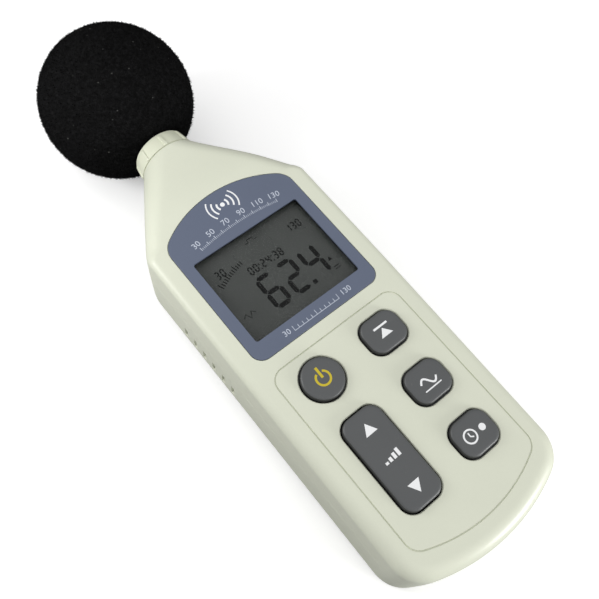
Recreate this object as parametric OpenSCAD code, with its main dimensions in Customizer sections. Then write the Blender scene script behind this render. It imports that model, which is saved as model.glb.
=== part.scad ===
// Hand-held sound level meter with a foam windscreen on its microphone.
// Frame: the tripod socket's mouth is the origin, +X to the right of the display,
// +Y towards the microphone, +Z out of the front face. The back is the plane z = 0.

/* [Case] */
// Width of the case across its straight sides
body_w = 70.4; // [66:0.2:90]
// Thickness of the case from back to face
body_t = 35; // [33:0.5:44]
// Distance from the tripod socket down to the lower end
body_down = 118; // [112:0.5:150]
// Radius of the curved lower end in plan
end_r = 75.5; // [60:0.5:110]
// Radius of the two lower corners in plan
corner_r = 13; // [9:0.5:18]
// Radius of the two shoulders in plan
shoulder_r = 14.5; // [10:0.5:20]
// Height of the shoulder arcs' centres above the tripod socket
shoulder_y = 27; // [22:0.5:40]
// Height of the shells' upper rim above the tripod socket
neck_y = 67.6; // [60:0.2:84]
// Outer radius of the neck at its rim
neck_r = 12.5; // [11.5:0.1:15]
// Height of the microphone axis and of the parting line above the back
axis_h = 19.5; // [18:0.1:21]
// Wall of the two shells
wall = 2.2; // [1.8:0.1:2.8]
// Radius of the front edge along the straight sides
front_edge_r = 3; // [2.4:0.1:4]
// Radius of the front edge where the shoulder meets the slope
slope_edge_r = 7; // [4:0.1:8]
// Radius of the back edge along the straight sides
back_edge_r = 2; // [1.5:0.1:3]
// Radius of the back edge where the shoulder meets the slope
back_slope_r = 3; // [2:0.1:5]

/* [Display] */
// Width of the display window
window_w = 46.6; // [40:0.2:50]
// Height of the display window
window_l = 36.8; // [30:0.2:40]
// Width of the blue overlay panel
panel_w = 55.7; // [52:0.1:60]
// Lower edge of the panel below the window's centre
panel_down = 25.5; // [22:0.1:28]
// Peak of the panel's arched top above the window's centre
panel_up = 38.7; // [36:0.1:46]
// Radius of the panel's arched top
panel_top_r = 44.6; // [38:0.2:60]
// Radius of the panel's two upper corners
panel_shoulder_r = 7.7; // [5:0.1:10]
// Radius of the panel's two lower corners
panel_corner_r = 4.8; // [3:0.1:7]
// Thickness of the panel
panel_t = 0.7; // [0.5:0.1:1.2]
// Thickness of the clear window
lens_t = 1; // [0.8:0.1:1.4]
// Thickness of the liquid crystal cell
glass_t = 2.2; // [1.8:0.1:2.8]

/* [Keys] */
// Distance from the centre line to the right column of keys
key_x = 13.8; // [12:0.1:16]
// Height of the top key of the right column, below the window's centre
key_top_y = 42.1; // [40:0.1:50]
// Spacing of the keys in the right column
key_pitch = 22.6; // [18:0.1:26]
// Width of a square key
key_w = 15.5; // [12:0.1:16]
// Length of a square key
key_l = 13.3; // [11:0.1:15]
// Corner radius of a square key and of the rocker
key_r = 4.6; // [3:0.1:5.4]
// Diameter of the round power key
power_d = 15.4; // [13:0.1:17]
// Distance from the centre line to the rocker
rocker_x = 13.3; // [12:0.1:15]
// Height of the rocker's centre, below the window's centre
rocker_y = 76; // [70:0.1:84]
// Width of the rocker
rocker_w = 15.8; // [13:0.1:18]
// Length of the rocker
rocker_l = 36.3; // [32:0.1:42]
// Gap round every key
key_gap = 0.6; // [0.3:0.05:0.8]
// How far a key stands above the face
key_proud = 1.6; // [1:0.1:2.2]
// How far a key travels
key_travel = 0.8; // [0.5:0.1:1]
// Width of the groove round the keys
groove_w = 0.45; // [0.3:0.05:0.8]
// Width of the field inside the groove
field_w = 56; // [53:0.1:60]
// Upper edge of the field, below the window's centre
field_top = 30.5; // [28:0.1:34]
// Lowest point of the field, below the window's centre
field_down = 108.9; // [100:0.1:112]
// Radius of the field's curved lower edge
field_end_r = 61.3; // [50:0.1:90]

/* [Microphone] */
// Diameter of the microphone tube, the half inch size
tube_d = 12.7; // [12.7:0.1:14]
// Bore of the microphone tube
tube_bore = 10.7; // [10:0.1:11.2]
// Height of the tube's outer end above the tripod socket
tube_end_y = 112; // [104:0.5:124]
// Height of the nose collar's outer rim above the tripod socket
collar_end_y = 75.2; // [73:0.1:90]
// Radius of the collar's outer rim
collar_r = 11; // [10:0.1:12.2]
// Number of ribs round the collar
collar_ribs = 8; // [6:1:16]
// Width of a rib on the collar
collar_rib_w = 1.6; // [0.8:0.1:2]
// Diameter of the foam windscreen
ball_d = 62.8; // [55:0.2:80]
// Gap between the foam and what it sits on
foam_gap = 0.3; // [0.2:0.05:0.5]

/* [Battery] */
// Diameter of one cell
cell_d = 14.2; // [13.5:0.1:14.5]
// Length of one cell with its cap
cell_l = 50.4; // [49:0.1:51]
// Side gap between cells
cell_gap = 0.3; // [0.2:0.05:0.6]
// Clearance round the cells in their bay
bay_clear = 0.35; // [0.2:0.05:0.8]
// Length of a spring contact, and of the space that it fills
spring_l = 3.6; // [3:0.1:5]
// Thickness of the contact metal
contact_t = 0.4; // [0.3:0.1:0.6]
// Thickness of the battery door
door_t = 2; // [1.6:0.1:2.4]
// Upper edge of the battery bay, below the tripod socket
bay_top = 48; // [46:0.5:52]
// Overlap of the door on the case above the bay
door_lap = 4.6; // [3:0.1:6]

/* [Boards and connectors] */
// Height of the main board's lower face above the back
board_h = 26; // [25.5:0.1:27]
// Thickness of the circuit boards
board_t = 1.6; // [1:0.1:1.8]
// Radius of the output jack's hole
jack_r = 2.9; // [2.5:0.1:3.2]
// Radius of the power jack's hole
power_jack_r = 3.2; // [2.8:0.1:3.4]
// Radius of the trimmer's access hole
trimmer_r = 1.8; // [1.5:0.1:2.2]
// Minor radius of the tripod socket's thread
tripod_r = 2.6; // [2.4:0.05:2.8]
// Depth of the tripod socket
tripod_depth = 9; // [7:0.5:10]

/* [Side slots] */
// Number of slots in the left side
slot_count = 6; // [3:1:8]
// Spacing of the slots
slot_pitch = 5.76; // [4.5:0.1:6.5]
// Width of a slot
slot_w = 1.6; // [1:0.1:2]
// Height of a slot
slot_h = 6.2; // [4:0.1:7]

/* [Hidden] */
$fn = 48;
e = 0.01;
slip = 0.05;
fit = 0.1;

// Colours
cream = [0.86, 0.87, 0.79];
key_grey = [0.36, 0.37, 0.38];
board_green = [0.05, 0.3, 0.16];
metal = [0.75, 0.75, 0.76];

// Plan of the case: the lower end, corner, side, shoulder and slope of its right half.
half_w = body_w / 2;
draft = 0.15;
end_cy = -body_down + end_r;
corner_cx = half_w - corner_r;
corner_cy = end_cy - sqrt(pow(end_r - corner_r, 2) - pow(corner_cx, 2));
end_a = atan2(corner_cy - end_cy, corner_cx);
shoulder_cx = half_w - shoulder_r;
slope_d = norm([neck_r - shoulder_cx, neck_y - shoulder_y]);
slope_a = atan2(neck_y - shoulder_y, neck_r - shoulder_cx) - acos(shoulder_r / slope_d);
slope_from = [shoulder_cx + shoulder_r * cos(slope_a), shoulder_y + shoulder_r * sin(slope_a)];
n_end = 7;
n_corner = 6;
n_side = 2;
n_shoulder = 6;
n_slope = 8;
n_edge = 5;

// Heights above the back, from the front face down to the main board.
lens_z = body_t - panel_t - 0.9;
glass_z = lens_z - lens_t - fit;
inner_z = body_t - wall;
board_top = board_h + board_t;
key_top = body_t + key_proud;
flange_t = 1.2;
flange_w = 1.2;
flange_z = inner_z - 0.2 - flange_t;
plunger_r = 3;
mat_t = 1;
key_stop = 0.1;

// The holder that stacks the display on the main board.
holder_wall = 1.4;
glass_rim = 0.9;
strip_w = 1.8;
glass_w = window_w + 2 * glass_rim;
glass_l = window_l + 2 * (strip_w + 0.4);
holder_w = glass_w + 2 * (holder_wall + fit);
holder_l = glass_l + 2 * (holder_wall + fit);
plate_t = 1.1;

// Rocker pivot.
pivot_r = 1;
pivot_z = inner_z - 1.9;
lug_t = 1.5;
lug_gap = 0.4;
rocker_reach = 0.33;

// Battery bay and door, below the parting line.
bay_w = 4 * cell_d + 3 * cell_gap + 2 * bay_clear;
bay_l = cell_l + spring_l + contact_t + 0.3;
bay_wall = 1.4;
bay_bottom = bay_top + bay_l;
door_gap = 0.2;
door_half = bay_w / 2 + 0.6;
door_top = bay_top - door_lap;
pad_t = 2;
cell_z = door_t + 0.3 + cell_d / 2;
bay_ceiling = cell_z + cell_d / 2 + bay_clear;
rail_t = 0.8;
rail_w = 1;
rail_z = 1.1;
tongue_l = 2.4;
tongue_half = 20;
contact_w = 9.6;
function cell_x(i) = (i - 1.5) * (cell_d + cell_gap);
function cell_up(i) = i % 2 == 0;

// Fasteners: [x, y] of one of each mirrored pair.
case_screw_y = [25, -38];
case_screw_x = half_w - wall - 4.6;
boss_r = 3.4;
back_boss_r = 4.2;
case_screw_r = 1.4;
case_head_r = 2.7;
case_head_t = 1.8;
case_head_z = 10;
board_screw_at = [[14, 37], [28.4, -30.8], [20.5, -104.4]];
post_r = 2.4;
board_screw_r = 1.2;
board_head_r = 2.2;
board_head_t = 1.4;

// Connectors on the right side: heights above the tripod socket.
trimmer_y = 13;
jack_y = 2;
usb_y = -11;
power_jack_y = -23.4;
jack_z = board_h - jack_r - 0.1;
power_jack_z = board_h - power_jack_r - 0.05;
usb_w = 8.2;
usb_t = 3.6;
usb_z = board_h - usb_t / 2;
trimmer_z = board_h - 3.3;
connector_x = half_w - 0.5;

// Slots in the left side.
slot_top_y = 8.7;
slot_z = 4.7;

// Microphone assembly on its axis.
tube_r = tube_d / 2;
tube_from_y = neck_y - 16;
seal_t = 1.2;
seal_r = tube_r + seal_t;
rim_r = neck_r - wall - 0.15;
ring_y = neck_y - 6;
ring_t = 2;
ring_r = rim_r - 1;
spigot_y = ring_y - 2;
ball_r = ball_d / 2;
grid_l = 5;
collar_step = 0.05;
rib_h = 0.4;
foam_stand = 0.8;
ball_y = collar_end_y + sqrt(ball_r * ball_r - collar_r * collar_r) + foam_stand;
preamp_w = 9.8;
preamp_t = 1;
preamp_from_y = 36;

function smooth(t) = t * t * (3 - 2 * t);
function mix(a, b, t) = a + (b - a) * t;
function reversed(f) = [for (i = [len(f) - 1 : -1 : 0]) f[i]];

// Stations round the right half of the plan. Each is
// [x, y, inward x, inward y, blend from side to slope, blend from slope to neck].
stations = concat(
    [for (i = [0.5 : n_end]) let (a = mix(-90, end_a, i / n_end))
        [end_r * cos(a), end_cy + end_r * sin(a), -cos(a), -sin(a), 0, 0]],
    [for (i = [0.5 : n_corner]) let (a = mix(end_a, 0, i / n_corner))
        [corner_cx + corner_r * cos(a), corner_cy + corner_r * sin(a), -cos(a), -sin(a), 0, 0]],
    [for (i = [0 : n_side - 1]) [half_w, mix(corner_cy, shoulder_y, i / n_side), -1, 0, 0, 0]],
    [for (i = [0 : n_shoulder - 1]) let (a = slope_a * i / n_shoulder)
        [shoulder_cx + shoulder_r * cos(a), shoulder_y + shoulder_r * sin(a), -cos(a), -sin(a),
            smooth(i / n_shoulder), 0]],
    [for (i = [0 : n_slope]) let (t = i / n_slope, a = slope_a * (1 - smooth(t)))
        [mix(slope_from.x, neck_r, t), mix(slope_from.y, neck_y, t), -cos(a), -sin(a), 1, t]]);
count = len(stations);

// Radius of the edge at a station: it blends into the neck's own circle.
function edge_at(s, inset, edge, slope_edge) =
    mix(mix(edge, slope_edge, s[4]), neck_r - inset, pow(s[5], 1.4));

// One line of the skin, from the parting line over the edge to the centre line.
function skin_line(i, inset, edge, slope_edge, height) =
    let (s = stations[i],
        r = edge_at(s, inset, edge, slope_edge),
        h = mix(height, neck_r - inset, smooth(max(0, (s[5] - 0.25) / 0.75))),
        lean = draft * (1 - s[5]),
        d = inset + lean + r,
        dy = d - inset * s[5],
        start = n_end + n_corner,
        spine = i < start ? mix(end_cy - end_r + d + 1, corner_cy - 1, i / start) : s.y + s[3] * dy)
    concat(
        [[s.x + s[2] * inset, s.y + s[3] * inset * (1 - s[5]), 0]],
        [for (j = [0.25 : n_edge]) let (a = 90 * j / n_edge, back = r * cos(a))
            [s.x + s[2] * (d - back), s.y + s[3] * (dy - back), h - r * (1 - sin(a))]],
        [[s.x + s[2] * d, s.y + s[3] * dy, h]],
        [[0, spine, h]]);

// Points of one skin: right, left, then the centre line. Their numbers follow from the skin, the
// station and the place along the line.
points_across = n_edge + 2;
points_each = count * (2 * points_across + 1);
function skin_lines(inset, edge, slope_edge, height) =
    [for (i = [0 : count - 1]) skin_line(i, inset, edge, slope_edge, height)];
function skin_points(lines, side) =
    let (right = [for (l = lines) for (j = [0 : points_across - 1]) [l[j].x, l[j].y, axis_h + side * l[j].z]])
    concat(right, [for (p = right) [-p.x, p.y, p.z]],
        [for (l = lines) [0, l[points_across].y, axis_h + side * l[points_across].z]]);
function on_right(k, i, j) = k * points_each
    + (j == points_across ? 2 * count * points_across + i : i * points_across + j);
function on_left(k, i, j) = k * points_each
    + (j == points_across ? 2 * count * points_across + i : (count + i) * points_across + j);
function skin_surface(k) = concat(
    [for (i = [0 : count - 2]) for (j = [0 : points_across - 1]) each
        [[on_right(k, i, j), on_right(k, i + 1, j), on_right(k, i + 1, j + 1)],
            [on_right(k, i, j), on_right(k, i + 1, j + 1), on_right(k, i, j + 1)],
            [on_left(k, i, j), on_left(k, i + 1, j + 1), on_left(k, i + 1, j)],
            [on_left(k, i, j), on_left(k, i, j + 1), on_left(k, i + 1, j + 1)]]],
    [for (j = [0 : points_across - 2]) each
        [[on_right(k, 0, j), on_right(k, 0, j + 1), on_left(k, 0, j + 1)],
            [on_right(k, 0, j), on_left(k, 0, j + 1), on_left(k, 0, j)]]],
    [[on_right(k, 0, points_across - 1), on_right(k, 0, points_across), on_left(k, 0, points_across - 1)]]);
function turned(faces, side) = side > 0 ? [for (f = faces) reversed(f)] : faces;

// A closed half of the case: side = 1 lies in front of the parting line, side = -1 behind it.
module skin(edge, slope_edge, height, side) {
    last = count - 1;
    polyhedron(points = skin_points(skin_lines(0, edge, slope_edge, height), side),
        faces = turned(concat(skin_surface(0),
            [concat([for (j = [points_across : -1 : 0]) on_right(0, last, j)],
                [for (j = [0 : points_across - 1]) on_left(0, last, j)])],
            [concat([for (i = [last : -1 : 0]) on_right(0, i, 0)], [for (i = [0 : last]) on_left(0, i, 0)])]),
            side));
}

// A hollow half of the case, open at the parting line and at the neck's rim.
module hollow(edge, slope_edge, height, side) {
    last = count - 1;
    inner = skin_lines(wall, max(edge - wall, 0.8), max(slope_edge - wall, 0.8), height - wall);
    polyhedron(
        points = concat(skin_points(skin_lines(0, edge, slope_edge, height), side), skin_points(inner, side)),
        faces = turned(concat(skin_surface(0), [for (f = skin_surface(1)) reversed(f)],
            [for (i = [0 : last - 1]) each
                [[on_right(0, i + 1, 0), on_right(0, i, 0), on_right(1, i, 0), on_right(1, i + 1, 0)],
                    [on_left(0, i, 0), on_left(0, i + 1, 0), on_left(1, i + 1, 0), on_left(1, i, 0)]]],
            [[on_right(0, 0, 0), on_left(0, 0, 0), on_left(1, 0, 0), on_right(1, 0, 0)]],
            [for (j = [0 : points_across - 1]) each
                [[on_right(0, last, j + 1), on_right(0, last, j), on_right(1, last, j), on_right(1, last, j + 1)],
                    [on_left(0, last, j), on_left(0, last, j + 1), on_left(1, last, j + 1), on_left(1, last, j)]]]),
            side));
}

module back_skin() { skin(back_edge_r, back_slope_r, axis_h, -1); }

// Helpers
module box(low, high) { translate(low) cube(high - low); }
module rod(r, from, to) { translate([0, 0, from]) cylinder(r = r, h = to - from); }
module along_y(r, from, to) { translate([0, from, axis_h]) rotate([-90, 0, 0]) cylinder(r = r, h = to - from); }
module along_x(r, y, z, from, to) { translate([from, y, z]) rotate([0, 90, 0]) cylinder(r = r, h = to - from); }
module both_sides() { children(); mirror([1, 0, 0]) children(); }
module round_rect(w, l, r) {
    union() {
        square([w - 2 * r, l], center = true);
        square([w, l - 2 * r], center = true);
        for (x = [-1, 1]) for (y = [-1, 1]) translate([x * (w / 2 - r), y * (l / 2 - r)]) circle(r);
    }
}

// Points of an arc between two directions.
function arc(c, r, from, to, n) = [for (i = [0 : n]) let (a = mix(from, to, i / n)) c + r * [cos(a), sin(a)]];

// A field with an arched end, drawn with the arch towards +Y: half width w, arch peak at y = top with
// radius big, its two corners of radius r, and the square end at y = low with corners of radius r2.
function arched(w, top, big, r, low, r2) =
    let (cy = top - big,
        sx = w - r,
        sy = cy + sqrt(pow(big - r, 2) - sx * sx),
        a = atan2(sy - cy, sx),
        half = concat(arc([w - r2, low + r2], r2, -90, 0, 6), arc([sx, sy], r, 0, a, 8),
            arc([0, cy], big, a, 90, 10)))
    concat(half, [for (p = reversed(half)) if (p.x > e) [-p.x, p.y]]);

module panel_outline(grow = 0) {
    polygon(arched(panel_w / 2 + grow, panel_up + grow, panel_top_r + grow, panel_shoulder_r + grow,
        -panel_down - grow, panel_corner_r + grow));
}
module field_outline(grow) {
    mirror([0, 1]) polygon(arched(field_w / 2 + grow, field_down + grow, field_end_r + grow, 5.9 + grow,
        field_top - grow, 5.3 + grow));
}

// Keys
right_keys = [for (i = [0 : 2]) [key_x, -key_top_y - i * key_pitch]];
power_at = [-key_x, -key_top_y];
rocker_at = [-rocker_x, -rocker_y];

module key_hole(at, grow) {
    translate([at.x, at.y, 0]) linear_extrude(2 * body_t)
        round_rect(key_w + 2 * grow, key_l + 2 * grow, key_r + grow);
}
module key_holes(grow) {
    for (at = right_keys) key_hole(at, grow);
    translate([power_at.x, power_at.y, 0]) cylinder(d = power_d + 2 * grow, h = 2 * body_t);
    translate([rocker_at.x, rocker_at.y, 0]) linear_extrude(2 * body_t)
        round_rect(rocker_w + 2 * grow, rocker_l + 2 * grow, key_r + grow);
}

// A square key with a domed top, a flange that holds it under the face, and its plunger.
module square_key(at) {
    color(key_grey) translate([at.x, at.y, 0]) {
        translate([0, 0, flange_z]) linear_extrude(key_top - 0.8 - flange_z) round_rect(key_w, key_l, key_r);
        for (k = [[0.25, 0.8, 0.35], [0.9, 0.45, 0.45]]) translate([0, 0, key_top - k[1]])
            linear_extrude(k[2]) round_rect(key_w - 2 * k[0], key_l - 2 * k[0], key_r - k[0]);
        translate([0, 0, flange_z]) linear_extrude(flange_t)
            round_rect(key_w + 2 * flange_w, key_l + 2 * flange_w, key_r);
        rod(plunger_r, board_top + key_travel + key_stop, flange_z + e);
    }
}

// Shells
module case_bosses(r, from, to) {
    for (y = case_screw_y) both_sides() translate([case_screw_x, y, 0]) rod(r, from, to);
}
module board_posts(r, from, to) {
    for (at = board_screw_at) both_sides() translate([at.x, at.y, 0]) rod(r, from, to);
}
module connector_holes() {
    along_x(jack_r, jack_y, jack_z, half_w - wall - 1, half_w + 1);
    along_x(power_jack_r, power_jack_y, power_jack_z, half_w - wall - 1, half_w + 1);
    along_x(trimmer_r, trimmer_y, trimmer_z, half_w - wall - 1, half_w + 1);
    box([half_w - wall - 1, usb_y - usb_w / 2 - fit, usb_z - usb_t / 2 - fit],
        [half_w + 1, usb_y + usb_w / 2 + fit, usb_z + usb_t / 2 + 0.05]);
}
// Ring inside the neck that holds the collar's spigot.
module neck_ring(half) {
    intersection() {
        difference() {
            along_y(neck_r + 1.5, ring_y, ring_y + ring_t);
            along_y(ring_r, ring_y - 1, ring_y + ring_t + 1);
        }
        box([-body_w, 0, axis_h + min(0, half) * (rim_r + 1.1)], [body_w, neck_y, axis_h + max(0, half) * (rim_r + 1.1)]);
    }
}
module rocker_lugs() {
    for (s = [-1, 1]) translate([rocker_at.x + s * (rocker_w / 2 + key_gap + lug_gap + lug_t / 2), rocker_at.y, 0])
        box([-lug_t / 2, -2.4, board_top + mat_t + key_stop], [lug_t / 2, 2.4, inner_z + 0.4]);
}

module front_shell() {
    color(cream) difference() {
        union() {
            hollow(front_edge_r, slope_edge_r, body_t - axis_h, 1);
            case_bosses(boss_r, axis_h, inner_z + 0.4);
            board_posts(post_r, board_top, inner_z + 0.4);
            rocker_lugs();
            neck_ring(1);
        }
        translate([0, 0, body_t - panel_t]) linear_extrude(panel_t + 1) panel_outline();
        translate([0, 0, inner_z - 1]) linear_extrude(wall + 2) round_rect(window_w, window_l, 1);
        box([-window_w / 2 - 2.1, -window_l / 2 - 2.1, inner_z - 1], [window_w / 2 + 2.1, window_l / 2 + 2.1, lens_z]);
        key_holes(key_gap);
        translate([0, 0, body_t - 0.5]) linear_extrude(1) difference() {
            field_outline(0);
            field_outline(-groove_w);
        }
        connector_holes();
        along_x(pivot_r + slip, rocker_at.y, pivot_z, rocker_at.x - rocker_w, rocker_at.x + rocker_w);
        case_bosses(case_screw_r - 0.1, axis_h - 1, inner_z - 2.4);
        board_posts(board_screw_r - 0.1, board_top - 1, inner_z - 0.6);
    }
}

module door_plan(grow, from_y) {
    polygon([[-door_half - grow, from_y], [door_half + grow, from_y],
        [door_half + grow, -body_down - 5], [-door_half - grow, -body_down - 5]]);
}
module bay() {
    box([-bay_w / 2 - bay_wall, -bay_bottom - bay_wall, door_t + slip],
        [bay_w / 2 + bay_wall, -bay_top + bay_wall, bay_ceiling + bay_wall]);
    box([-half_w + wall / 2, -bay_bottom, door_t + slip], [half_w - wall / 2, -door_top + tongue_l + 1, door_t + 1.2]);
    intersection() {
        back_skin();
        box([-half_w, -body_down - 1, door_t + slip], [half_w, -bay_bottom, door_t + pad_t]);
    }
}

module back_shell() {
    color(cream) difference() {
        union() {
            hollow(back_edge_r, back_slope_r, axis_h, -1);
            bay();
            case_bosses(back_boss_r, wall - 0.4, axis_h);
            rod(6.2, wall - 0.4, tripod_depth + 1.6);
            neck_ring(-1);
        }
        box([-bay_w / 2, -bay_bottom, -1], [bay_w / 2, -bay_top, bay_ceiling]);
        translate([0, 0, -1]) linear_extrude(1 + door_t + slip) door_plan(door_gap, -door_top + door_gap);
        box([-door_half - rail_w - door_gap, -body_down - 1, rail_z - slip],
            [door_half + rail_w + door_gap, -door_top + door_gap, door_t + slip]);
        box([-tongue_half - door_gap, -door_top - 1, rail_z - slip],
            [tongue_half + door_gap, -door_top + tongue_l + door_gap, door_t + slip]);
        rod(tripod_r + 1.4 + slip, -1, tripod_depth);
        case_bosses(case_screw_r + 0.2, -1, axis_h + 1);
        case_bosses(case_head_r + 0.2, -1, case_head_z);
        for (i = [0 : slot_count - 1]) translate([0, slot_top_y - i * slot_pitch, 0])
            box([-half_w - 1, -slot_w / 2, slot_z], [-half_w + wall + 0.5, slot_w / 2, slot_z + slot_h]);
        for (i = [0, 3]) translate([cell_x(i), -bay_top - contact_t / 2 - 0.2, bay_ceiling])
            cube([3, contact_t + 0.6, 4 * bay_wall], center = true);
    }
}

module battery_door() {
    color(cream) {
        intersection() {
            back_skin();
            translate([0, 0, 0.3]) linear_extrude(door_t - 0.3) door_plan(0, -door_top);
        }
        intersection() {
            back_skin();
            box([-door_half - rail_w, -body_down + 9, rail_z], [door_half + rail_w, -door_top - 1, rail_z + rail_t]);
        }
        box([-tongue_half, -door_top - 1, rail_z], [tongue_half, -door_top + tongue_l, door_t]);
        for (i = [0 : 5]) translate([0, -body_down + 12 + i * 2.4, 0.1]) translate([-12, -0.6, 0]) cube([24, 1.2, 0.3]);
    }
}

// Display
module display_panel() {
    color([0.4, 0.44, 0.53]) translate([0, 0, body_t - panel_t]) linear_extrude(panel_t) difference() {
        panel_outline(-fit);
        round_rect(window_w, window_l, 1);
    }
}
module display_window() {
    color([0.85, 0.9, 0.92, 0.5]) box([-window_w / 2 - 2, -window_l / 2 - 2, lens_z - lens_t],
        [window_w / 2 + 2, window_l / 2 + 2, lens_z]);
}
module lcd_glass() {
    color([0.3, 0.31, 0.3]) box([-glass_w / 2, -glass_l / 2, glass_z - glass_t], [glass_w / 2, glass_l / 2, glass_z]);
}
module lcd_holder() {
    color([0.9, 0.9, 0.88]) difference() {
        box([-holder_w / 2, -holder_l / 2, board_top], [holder_w / 2, holder_l / 2, glass_z]);
        box([-glass_w / 2 - fit, -glass_l / 2 - fit, board_top - 1], [glass_w / 2 + fit, glass_l / 2 + fit, glass_z + 1]);
    }
}
module backlight_plate() {
    color([0.95, 0.95, 0.9]) {
        box([-glass_w / 2, -window_l / 2, glass_z - glass_t - plate_t], [glass_w / 2, window_l / 2, glass_z - glass_t]);
        for (x = [-1, 1]) for (y = [-1, 1]) translate([x * (glass_w / 2 - 2), y * (window_l / 2 - 2), 0])
            rod(1, board_top, glass_z - glass_t - plate_t);
    }
}
module contact_strips() {
    color([0.15, 0.15, 0.16]) for (s = [-1, 1]) translate([0, s * (glass_l / 2 - strip_w / 2), 0])
        box([-glass_w / 2 + 2, -strip_w / 2, board_top], [glass_w / 2 - 2, strip_w / 2, glass_z - glass_t]);
}

// Keypad
module keypad_mat() {
    color([0.25, 0.25, 0.26]) translate([0, 0, board_top]) linear_extrude(mat_t) difference() {
        translate([0, -(field_top + field_down) / 2 + 3.2]) round_rect(min(field_w - 6, 2 * (case_screw_x - boss_r)), field_down - field_top - 9, 3);
        for (at = concat(right_keys, [power_at])) translate(at) circle(plunger_r + 0.6);
        for (s = [-1, 1]) translate(rocker_at + [0, s * rocker_reach * rocker_l]) circle(plunger_r + 0.4);
    }
}
module power_key() {
    color(key_grey) translate([power_at.x, power_at.y, 0]) {
        rod(power_d / 2, flange_z, key_top - 0.6);
        rotate_extrude() polygon([[0, key_top - 0.7], [power_d / 2 - 0.02, key_top - 0.7],
            [power_d / 2 - 0.25, key_top - 0.25], [power_d / 2 - 0.9, key_top], [0, key_top]]);
        rod(power_d / 2 + flange_w, flange_z, flange_z + flange_t);
        rod(plunger_r, board_top + key_travel + key_stop, flange_z + e);
    }
}
module peak_key() { square_key(right_keys[0]); }
module weighting_key() { square_key(right_keys[1]); }
module response_key() { square_key(right_keys[2]); }
module level_rocker() {
    color(key_grey) translate([rocker_at.x, rocker_at.y, 0]) {
        translate([0, 0, pivot_z + 0.4]) linear_extrude(key_top - 0.8 - pivot_z - 0.4) round_rect(rocker_w, rocker_l, key_r);
        for (k = [[0.25, 0.8, 0.35], [0.9, 0.45, 0.45]]) translate([0, 0, key_top - k[1]])
            linear_extrude(k[2]) round_rect(rocker_w - 2 * k[0], rocker_l - 2 * k[0], key_r - k[0]);
        box([-rocker_w / 2 + 0.5, -2, pivot_z - 1.4], [rocker_w / 2 - 0.5, 2, pivot_z + 1]);
        along_x(pivot_r, 0, pivot_z, -rocker_w / 2 - key_gap - lug_gap - lug_t, rocker_w / 2 + key_gap + lug_gap + lug_t);
        for (s = [-1, 1]) translate([0, s * rocker_reach * rocker_l, 0])
            rod(plunger_r - 0.6, board_top + key_travel + key_stop, pivot_z + 1);
    }
}

// Electronics
module main_board() {
    color(board_green) difference() {
        translate([0, 0, board_h]) linear_extrude(board_t)
            mirror([0, 1]) polygon(arched(half_w - wall - 2.4, body_down - wall - 8, 66, 9, -41, 12));
        case_bosses(boss_r + 0.4, board_h - 1, board_top + 1);
        board_posts(board_screw_r + 0.15, board_h - 1, board_top + 1);
    }
}
module processor_chip() {
    color([0.1, 0.1, 0.11]) {
        box([-8, -18, board_h - 2], [6, -4, board_h]);
        for (s = [-1, 1]) for (i = [0 : 10]) translate([-7 + i * 1.2, s * 7.7 - 11, board_h - 0.6])
            cube([0.4, 1.4, 1.2], center = true);
    }
}
module board_parts() {
    color([0.12, 0.12, 0.13]) {
        box([-20, -4, board_h - 1.6], [-14, 2, board_h]);
        box([-22, -30, board_h - 1.8], [-12, -25, board_h]);
        box([6, -32, board_h - 1.8], [14, -26, board_h]);
        for (at = [[-20, 12], [-12, 12], [10, 12], [-22, -16]]) translate([at.x, at.y, 0]) rod(2.5, board_h - 5.4, board_h);
        for (i = [0 : 4]) translate([-20 + i * 4, 22, 0]) box([-1, -0.6, board_h - 0.8], [1, 0.6, board_h]);
    }
}
module crystal_can() {
    color(metal) translate([12, -14, 0]) {
        for (y = [-3.2, 3.2]) translate([0, y, 0]) rod(2.1, board_h - 3.4, board_h);
        box([-2.1, -3.2, board_h - 3.4], [2.1, 3.2, board_h]);
    }
}
module output_jack() {
    color([0.12, 0.12, 0.13]) difference() {
        union() {
            box([21.5, jack_y - 3.4, jack_z - jack_r], [half_w - wall - 0.2, jack_y + 3.4, board_h]);
            along_x(jack_r - fit, jack_y, jack_z, half_w - wall - 1, connector_x);
        }
        along_x(1.75, jack_y, jack_z, 22.7, half_w + 1);
    }
}
module power_jack() {
    color([0.1, 0.1, 0.11]) difference() {
        union() {
            box([21.5, power_jack_y - 4.4, power_jack_z - power_jack_r], [half_w - wall - 0.2, power_jack_y + 4.4, board_h]);
            along_x(power_jack_r - fit, power_jack_y, power_jack_z, half_w - wall - 1, connector_x);
        }
        along_x(2.5, power_jack_y, power_jack_z, 24, half_w + 1);
    }
    color(metal) along_x(0.6, power_jack_y, power_jack_z, 23.9, connector_x - 1);
}
module usb_socket() {
    color(metal) difference() {
        box([26.5, usb_y - usb_w / 2, usb_z - usb_t / 2], [connector_x, usb_y + usb_w / 2, board_h]);
        box([29, usb_y - usb_w / 2 + 0.5, usb_z - usb_t / 2 + 0.5], [half_w + 1, usb_y + usb_w / 2 - 0.5, board_h - 0.5]);
    }
    color([0.1, 0.1, 0.11]) box([28.9, usb_y - 3, usb_z - 0.3], [connector_x - 0.8, usb_y + 3, usb_z + 0.4]);
}
module trimmer_body() {
    color([0.16, 0.3, 0.62]) difference() {
        box([25.5, trimmer_y - 3.3, board_h - 6.6], [half_w - wall - 0.6, trimmer_y + 3.3, board_h]);
        along_x(1.3 + slip, trimmer_y, trimmer_z, 28, half_w);
    }
}
module trimmer_rotor() {
    color([0.85, 0.75, 0.4]) difference() {
        along_x(1.3, trimmer_y, trimmer_z, 28 + slip, half_w - wall - 0.2);
        box([half_w - wall - 0.8, trimmer_y - 0.25, trimmer_z - 2], [half_w, trimmer_y + 0.25, trimmer_z + 2]);
    }
}
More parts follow.
